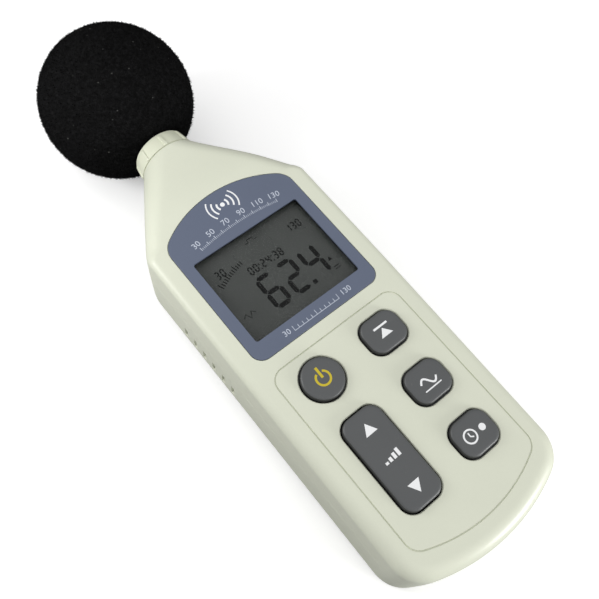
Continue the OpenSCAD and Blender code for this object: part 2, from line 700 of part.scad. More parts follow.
module board_screws() {
    color(metal) difference() {
        union() {
            board_posts(board_screw_r - 0.1, board_h - e, inner_z - 0.8);
            board_posts(board_head_r, board_h - board_head_t, board_h);
        }
        for (at = board_screw_at) both_sides() translate([at.x, at.y, board_h - board_head_t]) {
            cube([2.6, 0.6, 1.2], center = true);
            cube([0.6, 2.6, 1.2], center = true);
        }
    }
}

// Microphone
// The collar's cone, from the neck to its outer rim, or a cone that stands proud of it.
module nose_cone(proud = 0) {
    translate([0, neck_y, axis_h]) rotate([-90, 0, 0])
        cylinder(r1 = neck_r - collar_step + proud, r2 = collar_r + proud, h = collar_end_y - neck_y);
}
module nose_collar() {
    color(cream) difference() {
        union() {
            nose_cone();
            for (i = [0 : collar_ribs - 1]) intersection() {
                nose_cone(rib_h);
                translate([0, 0, axis_h]) rotate([0, i * 360 / collar_ribs, 0])
                    box([-collar_rib_w / 2, neck_y + 0.5, collar_r - 2], [collar_rib_w / 2, collar_end_y - 0.7, neck_r + 2]);
            }
            along_y(rim_r - slip, spigot_y, neck_y + e);
        }
        difference() {
            along_y(rim_r + 1, ring_y - slip, ring_y + ring_t + slip);
            along_y(ring_r - slip, ring_y - 1, ring_y + ring_t + 1);
        }
        along_y(seal_r, spigot_y + 1.5, collar_end_y + 1);
        along_y(tube_r + slip, spigot_y - 1, collar_end_y);
    }
}
module tube_seal() {
    color([0.07, 0.07, 0.07]) difference() {
        along_y(seal_r, spigot_y + 1.5, collar_end_y - 1);
        along_y(tube_r, spigot_y, collar_end_y);
    }
}
module microphone_tube() {
    color([0.55, 0.56, 0.58]) difference() {
        union() {
            along_y(tube_r, tube_from_y, tube_end_y - grid_l);
            along_y(tube_r + 2, spigot_y - 1.8, spigot_y);
        }
        along_y(tube_bore / 2, tube_from_y - 1, tube_end_y);
    }
}
module microphone_grid() {
    color(metal) difference() {
        union() {
            along_y(tube_r, tube_end_y - grid_l, tube_end_y);
            along_y(tube_bore / 2, tube_end_y - grid_l - 2, tube_end_y - grid_l + e);
        }
        along_y(tube_bore / 2 - 0.7, tube_end_y - grid_l - 3, tube_end_y - 0.8);
        for (i = [-2 : 2]) translate([i * 1.9, tube_end_y, axis_h])
            cube([0.7, 4, 2 * sqrt(16 - pow(i * 1.9, 2))], center = true);
    }
}
module microphone_capsule() {
    color([0.8, 0.8, 0.8]) {
        along_y(tube_bore / 2, tube_end_y - grid_l - 9.5, tube_end_y - grid_l - 2);
        along_y(tube_bore / 2 - 0.9, tube_end_y - grid_l - 2, tube_end_y - grid_l + 1.5);
    }
}
module preamp_board() {
    color(board_green) {
        box([-preamp_w / 2, preamp_from_y, axis_h - preamp_t / 2], [preamp_w / 2, tube_end_y - grid_l - 10, axis_h + preamp_t / 2]);
        box([-2.6, spigot_y - 8, axis_h + preamp_t / 2], [2.6, spigot_y - 2, axis_h + preamp_t / 2 + 1.5]);
    }
}
module board_link() {
    color([0.1, 0.1, 0.11]) box([-4.5, preamp_from_y + 0.6, axis_h + preamp_t / 2], [4.5, preamp_from_y + 3.1, axis_h + preamp_t / 2 + 2.5]);
    color([0.85, 0.72, 0.35]) for (i = [0 : 2]) translate([(i - 1) * 2.54, preamp_from_y + 1.85, 0])
        box([-0.32, -0.32, axis_h + preamp_t / 2 + 2.5], [0.32, 0.32, board_h]);
}
module windscreen() {
    color([0.07, 0.07, 0.07]) translate([0, 0, axis_h]) rotate([-90, 0, 0]) rotate_extrude($fn = 96) difference() {
        translate([0, ball_y]) circle(r = ball_r);
        translate([-ball_d, 0]) square([ball_d, 2 * ball_y + ball_d]);
        square([tube_r + foam_gap, tube_end_y + 0.5]);
        square([collar_r + 1, collar_end_y + foam_gap]);
    }
}

// Battery
module cell(i) {
    up = cell_up(i);
    near = -bay_top - contact_t - 0.1;
    far = -bay_bottom + contact_t + 0.1;
    translate([cell_x(i), up ? near - cell_l : far + cell_l, cell_z - axis_h]) mirror([0, up ? 0 : 1, 0]) {
        color([0.15, 0.17, 0.2]) along_y(cell_d / 2, 0, cell_l - 1.2);
        color(metal) along_y(2.7, cell_l - 1.2 - e, cell_l);
    }
}
module battery_cell_1() { cell(0); }
module battery_cell_2() { cell(1); }
module battery_cell_3() { cell(2); }
module battery_cell_4() { cell(3); }
module contact_tab(i) {
    box([cell_x(i) - 1, -bay_top - contact_t, cell_z], [cell_x(i) + 1, -bay_top, board_h]);
}
module spring_contacts() {
    color(metal) for (i = [0 : 3]) {
        y = cell_up(i) ? -bay_bottom : -bay_top;
        s = cell_up(i) ? 1 : -1;
        link = i == 0 || i == 2 ? [0, cell_d + cell_gap - contact_w] : i == 1 ? [0, cell_d + cell_gap - contact_w] : [0, 0];
        box([cell_x(i) - contact_w / 2, min(y, y + s * contact_t), cell_z - 4.4],
            [cell_x(i) + contact_w / 2 + link[1], max(y, y + s * contact_t), cell_z + 4.4]);
        for (k = [0 : 4]) translate([cell_x(i), y + s * (contact_t + 0.35 + k * 0.62), cell_z]) rotate([90, 0, 0])
            rotate_extrude() translate([4 - k * 0.45, 0]) circle(r = 0.42, $fn = 16);
        if (i == 3) contact_tab(i);
    }
}
module plate_contacts() {
    color(metal) for (i = [0 : 3]) {
        y = cell_up(i) ? -bay_top : -bay_bottom;
        s = cell_up(i) ? -1 : 1;
        box([cell_x(i) - contact_w / 2, min(y, y + s * contact_t), cell_z - 4.4],
            [cell_x(i) + contact_w / 2, max(y, y + s * contact_t), cell_z + 4.4]);
        if (i == 0) contact_tab(i);
    }
}

// Fasteners
module tripod_insert() {
    color([0.8, 0.65, 0.3]) difference() {
        rod(tripod_r + 1.4, 0, tripod_depth);
        rod(tripod_r, -1, tripod_depth + 1);
    }
}
module case_screws() {
    color(metal) difference() {
        union() {
            case_bosses(case_screw_r - 0.1, case_head_z - e, inner_z - 3);
            case_bosses(case_head_r, case_head_z - case_head_t, case_head_z);
        }
        for (y = case_screw_y) both_sides() translate([case_screw_x, y, case_head_z - case_head_t]) {
            cube([3.2, 0.8, 1.6], center = true);
            cube([0.8, 3.2, 1.6], center = true);
        }
    }
}

front_shell();
back_shell();
display_panel();
display_window();
lcd_holder();
lcd_glass();
backlight_plate();
contact_strips();
keypad_mat();
power_key();
peak_key();
weighting_key();
response_key();
level_rocker();
main_board();
processor_chip();
board_parts();
crystal_can();
output_jack();
power_jack();
usb_socket();
trimmer_body();
trimmer_rotor();
board_screws();
nose_collar();
tube_seal();
microphone_tube();
microphone_capsule();
microphone_grid();
preamp_board();
board_link();
windscreen();
battery_door();
battery_cell_1();
battery_cell_2();
battery_cell_3();
battery_cell_4();
spring_contacts();
plate_contacts();
tripod_insert();
case_screws();
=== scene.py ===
"""A hand-held sound level meter with a foam windscreen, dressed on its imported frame.

Lengths inside the classes are millimetres in the row frame: the origin is the tripod socket's mouth,
+X runs to the right of the display, +Y to the microphone and +Z out of the face. Surfaces are worked
out as whole numpy arrays on grids of two parameters, and a mesh gets them in metres.
"""
import logging
import math
from dataclasses import dataclass, field
from enum import Enum
from typing import Sequence

import bmesh
import bpy
import numpy as np
from mathutils import Euler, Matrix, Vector


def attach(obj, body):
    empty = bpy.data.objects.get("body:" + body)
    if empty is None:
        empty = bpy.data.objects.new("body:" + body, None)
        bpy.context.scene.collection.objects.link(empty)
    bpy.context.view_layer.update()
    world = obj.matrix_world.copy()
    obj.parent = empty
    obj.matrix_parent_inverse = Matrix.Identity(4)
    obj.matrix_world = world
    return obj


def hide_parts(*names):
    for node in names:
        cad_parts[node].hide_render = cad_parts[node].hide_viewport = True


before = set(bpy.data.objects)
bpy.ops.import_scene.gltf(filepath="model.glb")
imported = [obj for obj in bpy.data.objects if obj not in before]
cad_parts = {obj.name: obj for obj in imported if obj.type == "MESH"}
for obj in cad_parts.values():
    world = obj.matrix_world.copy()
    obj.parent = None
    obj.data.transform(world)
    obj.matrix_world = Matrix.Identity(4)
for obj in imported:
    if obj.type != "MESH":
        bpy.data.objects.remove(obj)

log = logging.getLogger("meter")
MM = 0.001
LEAST_RADIUS = 0.02
SHARP_ANGLE = 32.0
MERGE_DISTANCE = 2e-6
FLAT_DISTANCE = 1e-7
Array = np.ndarray
Shade = tuple[int, int, int]
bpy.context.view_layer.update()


# ---------------------------------------------------------------- outlines in the plan


def turn(degrees: float | Array) -> Array:
    """Unit vectors (cos, sin) of an angle or an array of angles in degrees."""
    a = np.radians(np.asarray(degrees, dtype=float))
    return np.stack([np.cos(a), np.sin(a)], axis=-1)


def arc(centre: Sequence[float], radius: float, start: float, end: float, steps: int) -> Array:
    """Points centre + radius * (cos a, sin a) for angles a spaced evenly from start to end.

    Args:
        centre: Middle of the circle.
        radius: Its radius.
        start: First angle in degrees.
        end: Last angle in degrees.
        steps: Number of gaps between the points.

    Returns:
        An array of steps + 1 points.
    """
    return np.asarray(centre, dtype=float) + radius * turn(np.linspace(start, end, steps + 1))


def rounded_rectangle(width: float, length: float, radius: float, steps: int = 8) -> Array:
    """Four quarter circles of the radius, joined by straight sides, counterclockwise round the origin.

    Args:
        width: Size along X.
        length: Size along Y.
        radius: Corner radius.
        steps: Gaps in each quarter circle.

    Returns:
        An array of 4 * (steps + 1) points.
    """
    r = max(radius, LEAST_RADIUS)
    x, y = width / 2 - r, length / 2 - r
    corners = [((x, -y), -90), ((x, y), 0), ((-x, y), 90), ((-x, -y), 180)]
    return np.concatenate([arc(c, r, a, a + 90, steps) for c, a in corners])


def disc(radius: float, steps: int = 64) -> Array:
    """A circle of the radius round the origin, with that many points."""
    return radius * turn(np.arange(steps) * 360 / steps)


@dataclass(frozen=True)
class ArchedField:
    """A field with straight sides, a square end with round corners and an arched end."""

    half_width: float
    peak: float
    arch_radius: float
    shoulder: float
    base: float
    corner: float
    downward: bool = False

    def outline(self, grow: float = 0.0) -> Array:
        """The edge moved outwards by grow: each radius and each reach gets that much larger.

        Args:
            grow: Distance to move the edge outwards, or inwards where it is negative.

        Returns:
            Points counterclockwise round the field.
        """
        w, big, r = self.half_width + grow, self.arch_radius + grow, self.shoulder + grow
        low, r2 = self.base - grow, self.corner + grow
        middle = self.peak + grow - big
        sx = w - r
        sy = middle + math.sqrt((big - r) ** 2 - sx * sx)
        lean = math.degrees(math.atan2(sy - middle, sx))
        half = np.concatenate(
            [
                arc((w - r2, low + r2), r2, -90, 0, steps=8),
                arc((sx, sy), r, 0, lean, steps=10)[:-1],
                arc((0, middle), big, lean, 90, steps=24),
            ]
        )
        left = half[::-1][1:] * (-1, 1)
        points = np.concatenate([half, left])
        return points[::-1] * (1, -1) if self.downward else points


# ---------------------------------------------------------------- meshes


def grid_faces(rows: int, cols: int, close_rows: bool, close_cols: bool, first: int = 0) -> list[list[int]]:
    """Quads between neighbouring points of a grid that is stored row after row.

    Args:
        rows: Number of rows.
        cols: Number of columns.
        close_rows: Whether the last row meets the first.
        close_cols: Whether the last column meets the first.
        first: Number of the grid's first point.

    Returns:
        One list of four point numbers for each quad.
    """
    index = first + np.arange(rows * cols).reshape(rows, cols)
    if close_rows:
        index = np.concatenate([index, index[:1]])
    if close_cols:
        index = np.concatenate([index, index[:, :1]], axis=1)
    quads = np.stack([index[:-1, :-1], index[1:, :-1], index[1:, 1:], index[:-1, 1:]], axis=-1)
    return quads.reshape(-1, 4).tolist()


@dataclass
class Solid:
    """Points in millimetres and faces, gathered from closed shapes that make one piece."""

    points: list[Array] = field(default_factory=list)
    faces: list[list[int]] = field(default_factory=list)
    count: int = 0

    def add(self, points: Array, faces: list[list[int]]) -> "Solid":
        """Adds a shape.

        Args:
            points: Its points, in any grid whose last axis holds the three coordinates.
            faces: Its faces, which number its own points from 0.

        Returns:
            The same solid, with the shape added.
        """
        self.points.append(np.asarray(points, dtype=float).reshape(-1, 3))
        self.faces += [[i + self.count for i in f] for f in faces]
        self.count += len(self.points[-1])
        return self

    def loft(self, rings: Sequence[Array], ring_closed: bool = False) -> "Solid":
        """Joins equal outlines in their order, and closes both ends unless the rings close on themselves.

        Args:
            rings: Outlines of three coordinates with the same number of points.
            ring_closed: Whether the last outline meets the first, as round a groove.

        Returns:
            The same solid, with the shape added.
        """
        stack = np.stack(rings)
        rows, cols = stack.shape[:2]
        faces = grid_faces(rows, cols, ring_closed, True)
        if not ring_closed:
            faces += [list(range(cols))[::-1], list(range((rows - 1) * cols, rows * cols))]
        return self.add(stack, faces)

    def prism(self, outline: Array, low: float, high: float) -> "Solid":
        """The outline carried straight up from z = low to z = high."""
        return self.loft([lift(outline, low), lift(outline, high)])

    def box(self, low: Sequence[float], high: Sequence[float]) -> "Solid":
        """A block between two corners."""
        corners = np.array([(low[0], low[1]), (high[0], low[1]), (high[0], high[1]), (low[0], high[1])])
        return self.prism(corners, low[2], high[2])

    def lathe(self, profile: Array, frame_axes: Array, origin: Sequence[float], steps: int = 48) -> "Solid":
        """A closed profile of (radius, reach) turned round an axis.

        A point goes to origin + radius * (cos a * first axis + sin a * second axis) + reach * third axis.

        Args:
            profile: Points of the closed profile.
            frame_axes: Three rows: two directions across the axis, then the axis.
            origin: Where radius and reach are 0.
            steps: Number of places round the axis.

        Returns:
            The same solid, with the turned shape added.
        """
        around = turn(np.arange(steps) * 360 / steps)
        spokes = around @ frame_axes[:2]
        points = (
            np.asarray(origin, dtype=float)
            + profile[:, None, :1] * spokes[None]
            + profile[:, None, 1:] * frame_axes[2]
        )
        return self.add(points, grid_faces(len(profile), steps, True, True))

    def piece(self, name: str, sharp: float = SHARP_ANGLE) -> bpy.types.Object:
        """Makes the mesh object in metres, merged, with outward faces and smooth shading.

        Args:
            name: Name of the object.
            sharp: Edges that turn by more than this many degrees stay sharp.

        Returns:
            The new object.
        """
        mesh = bpy.data.meshes.new(name)
        mesh.from_pydata((np.concatenate(self.points) * MM).tolist(), [], self.faces)
        made = bpy.data.objects.new(name, mesh)
        bpy.context.scene.collection.objects.link(made)
        close_up(mesh)
        soften(mesh, sharp)
        return made


ALONG_Z = np.eye(3)
ALONG_Y = np.array([[1.0, 0, 0], [0, 0, 1], [0, 1, 0]])
ALONG_X = np.array([[0, 1.0, 0], [0, 0, 1], [1, 0, 0]])


def lift(outline: Array, height: float | Array) -> Array:
    """A flat outline placed at a height."""
    return np.column_stack([outline, np.broadcast_to(height, len(outline))])


def close_up(mesh: bpy.types.Mesh) -> None:
    """Merges doubled points and turns the faces of each closed shell outwards.

    Args:
        mesh: The mesh, changed in place.
    """
    work = bmesh.new()
    work.from_mesh(mesh)
    bmesh.ops.remove_doubles(work, verts=work.verts, dist=MERGE_DISTANCE)
    bmesh.ops.dissolve_degenerate(work, edges=work.edges, dist=FLAT_DISTANCE)
    bmesh.ops.recalc_face_normals(work, faces=work.faces)
    work.to_mesh(mesh)
    work.free()


def soften(mesh: bpy.types.Mesh, sharp: float) -> None:
    """Shades the mesh smooth, apart from edges that turn by more than sharp degrees."""
    mesh.shade_smooth()
    mesh.set_sharp_from_angle(angle=math.radians(sharp))


def carve(body: bpy.types.Object, tool: bpy.types.Object, mode: str = "DIFFERENCE") -> None:
    """Cuts a closed tool out of a closed body, or keeps what they share, and removes the tool.

    Args:
        body: The piece that is cut.
        tool: The piece that cuts it.
        mode: DIFFERENCE to cut the tool out, INTERSECT to keep what both hold.
    """
    cut = body.modifiers.new("cut", "BOOLEAN")
    cut.operation, cut.object, cut.solver = mode, tool, "EXACT"
    ready = bpy.data.meshes.new_from_object(body.evaluated_get(bpy.context.evaluated_depsgraph_get()))
    body.modifiers.clear()
    old, body.data = body.data, ready
    bpy.data.meshes.remove(old)
    ready.name = body.name
    spent = tool.data
    bpy.data.objects.remove(tool)
    bpy.data.meshes.remove(spent)
    soften(ready, SHARP_ANGLE)


# ---------------------------------------------------------------- finishes


def linear(shade: Sequence[int]) -> tuple[float, float, float, float]:
    """A display colour of 0 to 255 as the linear colour that a shader reads.

    Args:
        shade: Red, green and blue.

    Returns:
        Linear red, green and blue, and an alpha of 1.
    """
    c = np.asarray(shade, dtype=float) / 255
    out = np.where(c <= 0.04045, c / 12.92, ((c + 0.055) / 1.055) ** 2.4)
    return (*out.tolist(), 1.0)


class Bench:
    """A node tree with short ways to add and to link nodes."""

    def __init__(self, tree: bpy.types.NodeTree) -> None:
        """Keeps the tree."""
        self.tree = tree

    def node(self, kind: str, values: dict | None = None, **settings: object) -> bpy.types.Node:
        """Adds a node, sets its properties, and sets or links its inputs.

        Args:
            kind: The node's type.
            values: Input name or number to a constant, or to an output socket that feeds it.
            settings: Properties of the node.

        Returns:
            The new node.
        """
        made = self.tree.nodes.new(kind)
        for name, value in settings.items():
            setattr(made, name, value)
        for name, value in (values or {}).items():
            if isinstance(value, bpy.types.NodeSocket):
                self.tree.links.new(value, made.inputs[name])
            else:
                made.inputs[name].default_value = value
        return made

    def maths(self, operation: str, a: object, b: object = 0.0, clamp: bool = False) -> bpy.types.NodeSocket:
        """The output of a Math node."""
        return self.node("ShaderNodeMath", {0: a, 1: b}, operation=operation, use_clamp=clamp).outputs[0]

    def ramp(self, value: bpy.types.NodeSocket, low: float, high: float) -> bpy.types.NodeSocket:
        """0 below low, 1 above high, and even between."""
        return self.node(
            "ShaderNodeMapRange", {"Value": value, "From Min": low, "From Max": high}, clamp=True
        ).outputs["Result"]

    def blend(self, factor: object, a: object, b: object, mode: str = "MIX") -> bpy.types.NodeSocket:
        """A colour between a and b.

        Args:
            factor: Share of b, as a number or a socket.
            a: First colour.
            b: Second colour.
            mode: How the second colour is laid over the first.

        Returns:
            The colour's socket.
        """
        mix = self.node("ShaderNodeMix", data_type="RGBA", blend_type=mode)
        for socket, value in ((mix.inputs[0], factor), (mix.inputs[6], a), (mix.inputs[7], b)):
            if isinstance(value, bpy.types.NodeSocket):
                self.tree.links.new(value, socket)
            else:
                socket.default_value = value
        return mix.outputs[2]

    def noise(
        self, vector: object, scale: object, detail: float = 2.0, rough: float = 0.5
    ) -> bpy.types.NodeSocket:
        """The value of a Noise Texture."""
        values = {"Vector": vector, "Scale": scale, "Detail": detail, "Roughness": rough}
        return self.node("ShaderNodeTexNoise", values).outputs["Fac"]

    def join(self, source: bpy.types.NodeSocket, target: bpy.types.NodeSocket) -> None:
        """Links an output to an input."""
        self.tree.links.new(source, target)


class Effect(Enum):
    """The shared effects, each one a shader node group."""

    TONE = "Tone drift"
    PEBBLE = "Pebble grain"
    BRUSH = "Brushed lines"
    FOAM = "Foam cells"
    DUST = "Settled dust"


Sockets = bpy.types.bpy_prop_collection


def tone_drift(bench: Bench, inside: Sockets, out: Sockets) -> None:
    """Makes the shade darker and lighter, and the gloss softer and sharper, by slow and fine noise.

    Args:
        bench: The group's tree.
        inside: The group's inputs: Vector, Shade, Amount and Roughness.
        out: The group's outputs: Color and Roughness.
    """
    slow = bench.noise(inside["Vector"], 45.0, detail=3.0, rough=0.55)
    fine = bench.noise(inside["Vector"], 900.0, detail=2.0, rough=0.6)
    drift = bench.maths("ADD", bench.maths("MULTIPLY", slow, 0.65), bench.maths("MULTIPLY", fine, 0.35))
    off = bench.maths("SUBTRACT", 0.5, bench.ramp(drift, 0.3, 0.7))
    share = bench.maths("ADD", 1.0, bench.maths("MULTIPLY", off, inside["Amount"]))
    bench.join(bench.blend(1.0, inside["Shade"], share, "MULTIPLY"), out["Color"])
    swing = bench.maths("MULTIPLY", bench.maths("SUBTRACT", slow, 0.5), 0.22)
    bench.join(bench.maths("ADD", inside["Roughness"], swing, clamp=True), out["Roughness"])


def pebble_grain(bench: Bench, inside: Sockets, out: Sockets) -> None:
    """Adds a coarse and a finer noise: the skin of a moulded plastic.

    Args:
        bench: The group's tree.
        inside: The group's inputs: Vector and Pitch.
        out: The group's output: Height.
    """
    coarse = bench.noise(inside["Vector"], inside["Pitch"], detail=1.5)
    finer = bench.noise(inside["Vector"], bench.maths("MULTIPLY", inside["Pitch"], 2.7), detail=1.0)
    bench.join(bench.maths("ADD", coarse, bench.maths("MULTIPLY", finer, 0.4)), out["Height"])


def brushed_lines(bench: Bench, inside: Sockets, out: Sockets) -> None:
    """Stretches a noise along Y: the marks of a brush or of drawing.

    Args:
        bench: The group's tree.
        inside: The group's inputs: Vector and Pitch.
        out: The group's output: Height.
    """
    drawn = bench.node("ShaderNodeMapping", {"Vector": inside["Vector"], "Scale": (1.0, 0.04, 1.0)})
    bench.join(bench.noise(drawn.outputs[0], inside["Pitch"], detail=3.0, rough=0.6), out["Height"])


def foam_cells(bench: Bench, inside: Sockets, out: Sockets) -> None:
    """Takes the walls between Voronoi cells and breaks them with noise.

    Args:
        bench: The group's tree.
        inside: The group's inputs: Vector and Pitch.
        out: The group's outputs: Height and Strand.
    """
    values = {"Vector": inside["Vector"], "Scale": inside["Pitch"]}
    cells = bench.node("ShaderNodeTexVoronoi", values, feature="DISTANCE_TO_EDGE").outputs["Distance"]
    wall = bench.maths("SUBTRACT", 1.0, bench.ramp(cells, 0.02, 0.28))
    torn = bench.noise(inside["Vector"], bench.maths("MULTIPLY", inside["Pitch"], 0.45))
    bench.join(bench.maths("MULTIPLY", wall, bench.ramp(torn, 0.3, 0.65)), out["Strand"])
    bench.join(bench.maths("ADD", wall, torn), out["Height"])


def settled_dust(bench: Bench, inside: Sockets, out: Sockets) -> None:
    """Keeps the peaks of a noise, where the surface faces up.

    Args:
        bench: The group's tree.
        inside: The group's inputs: Vector and Pitch.
        out: The group's output: Mask.
    """
    facing = bench.node("ShaderNodeSeparateXYZ", {0: bench.node("ShaderNodeNewGeometry").outputs["Normal"]})
    specks = bench.ramp(bench.noise(inside["Vector"], inside["Pitch"], detail=4.0, rough=0.7), 0.66, 0.74)
    bench.join(bench.maths("MULTIPLY", specks, facing.outputs["Z"], clamp=True), out["Mask"])


VECTOR = ("Vector", "NodeSocketVector", None)
PITCH = ("Pitch", "NodeSocketFloat", 1500.0)
HEIGHT = ("Height", "NodeSocketFloat", None)
EFFECT_PARTS = {
    Effect.TONE: (
        tone_drift,
        (
            VECTOR,
            ("Shade", "NodeSocketColor", None),
            ("Amount", "NodeSocketFloat", 0.05),
            ("Roughness", "NodeSocketFloat", 0.5),
        ),
        (("Color", "NodeSocketColor", None), ("Roughness", "NodeSocketFloat", None)),
    ),
    Effect.PEBBLE: (pebble_grain, (VECTOR, PITCH), (HEIGHT,)),
    Effect.BRUSH: (brushed_lines, (VECTOR, PITCH), (HEIGHT,)),
    Effect.FOAM: (foam_cells, (VECTOR, PITCH), (HEIGHT, ("Strand", "NodeSocketFloat", None))),
    Effect.DUST: (settled_dust, (VECTOR, PITCH), (("Mask", "NodeSocketFloat", None),)),
}


def effect_tree(effect: Effect) -> bpy.types.NodeTree:
    """Builds a shared effect once, with its named inputs and outputs.

    Args:
        effect: Which effect.

    Returns:
        The node group.
    """
    if effect.value in bpy.data.node_groups:
        return bpy.data.node_groups[effect.value]
    tree = bpy.data.node_groups.new(effect.value, "ShaderNodeTree")
    wire, inputs, outputs = EFFECT_PARTS[effect]
    for way, sockets in (("INPUT", inputs), ("OUTPUT", outputs)):
        for name, kind, value in sockets:
            made = tree.interface.new_socket(name, in_out=way, socket_type=kind)
            if value is not None:
                made.default_value = value
    bench = Bench(tree)
    wire(bench, bench.node("NodeGroupInput").outputs, bench.node("NodeGroupOutput").inputs)
    return tree


class Grain(Enum):
    """How a finish is textured."""

    MOULDED = "moulded"
    SMOOTH = "smooth"
    BRUSHED = "brushed"
    FOAM = "foam"
    BOARD = "board"
    WRAP = "wrap"
    CLEAR = "clear"
    CRYSTAL = "crystal"


CLEAR_ALPHA = 0.04
DUST_SHADE: Shade = (190, 188, 178)
STRAND_SHADE: Shade = (38, 38, 39)
LINT_SHADE: Shade = (92, 92, 90)
COPPER_TRACK: Shade = (92, 150, 96)
WRAP_BAND: Shade = (176, 124, 62)
CELL_CLOUD: Shade = (70, 73, 71)


@dataclass(frozen=True)
class Finish:
    """One finish: its colour, its gloss, its grain and the record's slot that it answers to."""

    name: str
    slot: str
    shade: Shade
    rough: float = 0.5
    grain: Grain = Grain.MOULDED
    metal: float = 0.0
    drift: float = 0.05
    pitch: float = 1800.0
    depth: float = 0.02
    bump: float = 0.25
    coat: float = 0.0
    gloss: float = 0.5

    def material(self) -> bpy.types.Material:
        """The finish's material, built the first time that it is asked for.

        Returns:
            The material.
        """
        if self.name in bpy.data.materials:
            return bpy.data.materials[self.name]
        made = bpy.data.materials.new(self.name)
        made.use_nodes = True
        made.node_tree.nodes.clear()
        bench = Bench(made.node_tree)
        place = bench.node("ShaderNodeTexCoord").outputs["Object"]
        tone = self.effect(bench, Effect.TONE, place)
        tone.inputs["Shade"].default_value = linear(self.shade)
        tone.inputs["Amount"].default_value = self.drift
        tone.inputs["Roughness"].default_value = self.rough
        shader = bench.node(
            "ShaderNodeBsdfPrincipled",
            {"Metallic": self.metal, "Coat Weight": self.coat, "Specular IOR Level": self.gloss},
        )
        color, height = self.pattern(bench, place, tone.outputs["Color"])
        relief = {"Height": height, "Strength": self.bump, "Distance": self.depth * MM}
        bench.join(color, shader.inputs["Base Color"])
        bench.join(tone.outputs["Roughness"], shader.inputs["Roughness"])
        bench.join(bench.node("ShaderNodeBump", relief).outputs[0], shader.inputs["Normal"])
        if self.grain is Grain.CLEAR:
            shader.inputs["Alpha"].default_value = CLEAR_ALPHA
        bench.join(shader.outputs[0], bench.node("ShaderNodeOutputMaterial").inputs[0])
        return made

    def effect(self, bench: Bench, effect: Effect, place: bpy.types.NodeSocket) -> bpy.types.Node:
        """Places a shared effect in a material.

        Args:
            bench: The material's tree.
            effect: Which effect.
            place: Object coordinates.

        Returns:
            The group node, with its pitch set and its vector linked.
        """
        made = bench.node("ShaderNodeGroup", node_tree=effect_tree(effect))
        if "Pitch" in made.inputs:
            made.inputs["Pitch"].default_value = self.pitch
        bench.join(place, made.inputs["Vector"])
        return made

    def pattern(
        self, bench: Bench, place: bpy.types.NodeSocket, base: bpy.types.NodeSocket
    ) -> tuple[bpy.types.NodeSocket, bpy.types.NodeSocket]:
        """The finish's colour and height, by its grain.

        Args:
            bench: The material's tree.
            place: Object coordinates.
            base: The plain colour with its tone drift.

        Returns:
            The colour socket and the height socket.
        """
        if self.grain is Grain.MOULDED:
            return self.dusted(bench, place, base), self.effect(bench, Effect.PEBBLE, place).outputs["Height"]
        if self.grain in (Grain.SMOOTH, Grain.CLEAR):
            return base, self.effect(bench, Effect.PEBBLE, place).outputs["Height"]
        if self.grain is Grain.BRUSHED:
            return base, self.effect(bench, Effect.BRUSH, place).outputs["Height"]
        if self.grain is Grain.FOAM:
            return self.linted(bench, place, base)
        if self.grain is Grain.BOARD:
            rows = bench.node("ShaderNodeTexBrick", {"Vector": place, "Scale": 260.0, "Mortar Size": 0.03})
            tracks = bench.ramp(rows.outputs["Fac"], 0.4, 0.6)
            return bench.blend(tracks, base, bench.blend(0.35, base, linear(COPPER_TRACK))), tracks
        if self.grain is Grain.WRAP:
            along = bench.node("ShaderNodeSeparateXYZ", {0: place}).outputs["Y"]
            wave = bench.maths("PINGPONG", bench.maths("ADD", along, 1.0), 0.026)
            band = bench.ramp(wave, 0.018, 0.0182)
            return bench.blend(band, base, linear(WRAP_BAND)), bench.noise(place, self.pitch)
        cloudy = bench.ramp(bench.noise(place, 70.0), 0.35, 0.65)
        return bench.blend(cloudy, base, linear(CELL_CLOUD)), bench.noise(place, self.pitch)

    def dusted(
        self, bench: Bench, place: bpy.types.NodeSocket, base: bpy.types.NodeSocket
    ) -> bpy.types.NodeSocket:
        """The colour with faint specks of dust where the surface faces up.

        Args:
            bench: The material's tree.
            place: Object coordinates.
            base: The plain colour with its tone drift.

        Returns:
            The colour socket.
        """
        dust = self.effect(bench, Effect.DUST, place)
        dust.inputs["Pitch"].default_value = 700.0
        faint = bench.maths("MULTIPLY", dust.outputs["Mask"], 0.07)
        return bench.blend(faint, base, linear(DUST_SHADE))

    def linted(
        self, bench: Bench, place: bpy.types.NodeSocket, base: bpy.types.NodeSocket
    ) -> tuple[bpy.types.NodeSocket, bpy.types.NodeSocket]:
        """The colour of open foam, with lighter strands and a few specks of lint, and its height.

        A speck is the middle of a Voronoi cell, and a random value of each cell picks the few.

        Args:
            bench: The material's tree.
            place: Object coordinates.
            base: The plain colour with its tone drift.

        Returns:
            The colour socket and the height socket.
        """
        cells = self.effect(bench, Effect.FOAM, place)
        share = bench.maths("MULTIPLY", cells.outputs["Strand"], 0.8)
        strand = bench.blend(share, base, linear(STRAND_SHADE))
        spots = bench.node("ShaderNodeTexVoronoi", {"Vector": place, "Scale": 330.0, "Randomness": 1.0})
        small = bench.maths("LESS_THAN", spots.outputs["Distance"], 0.09)
        pick = bench.node("ShaderNodeSeparateColor", {0: spots.outputs["Color"]}).outputs[0]
        lint = bench.maths("MULTIPLY", small, bench.maths("GREATER_THAN", pick, 0.6))
        return bench.blend(lint, strand, linear(LINT_SHADE)), cells.outputs["Height"]


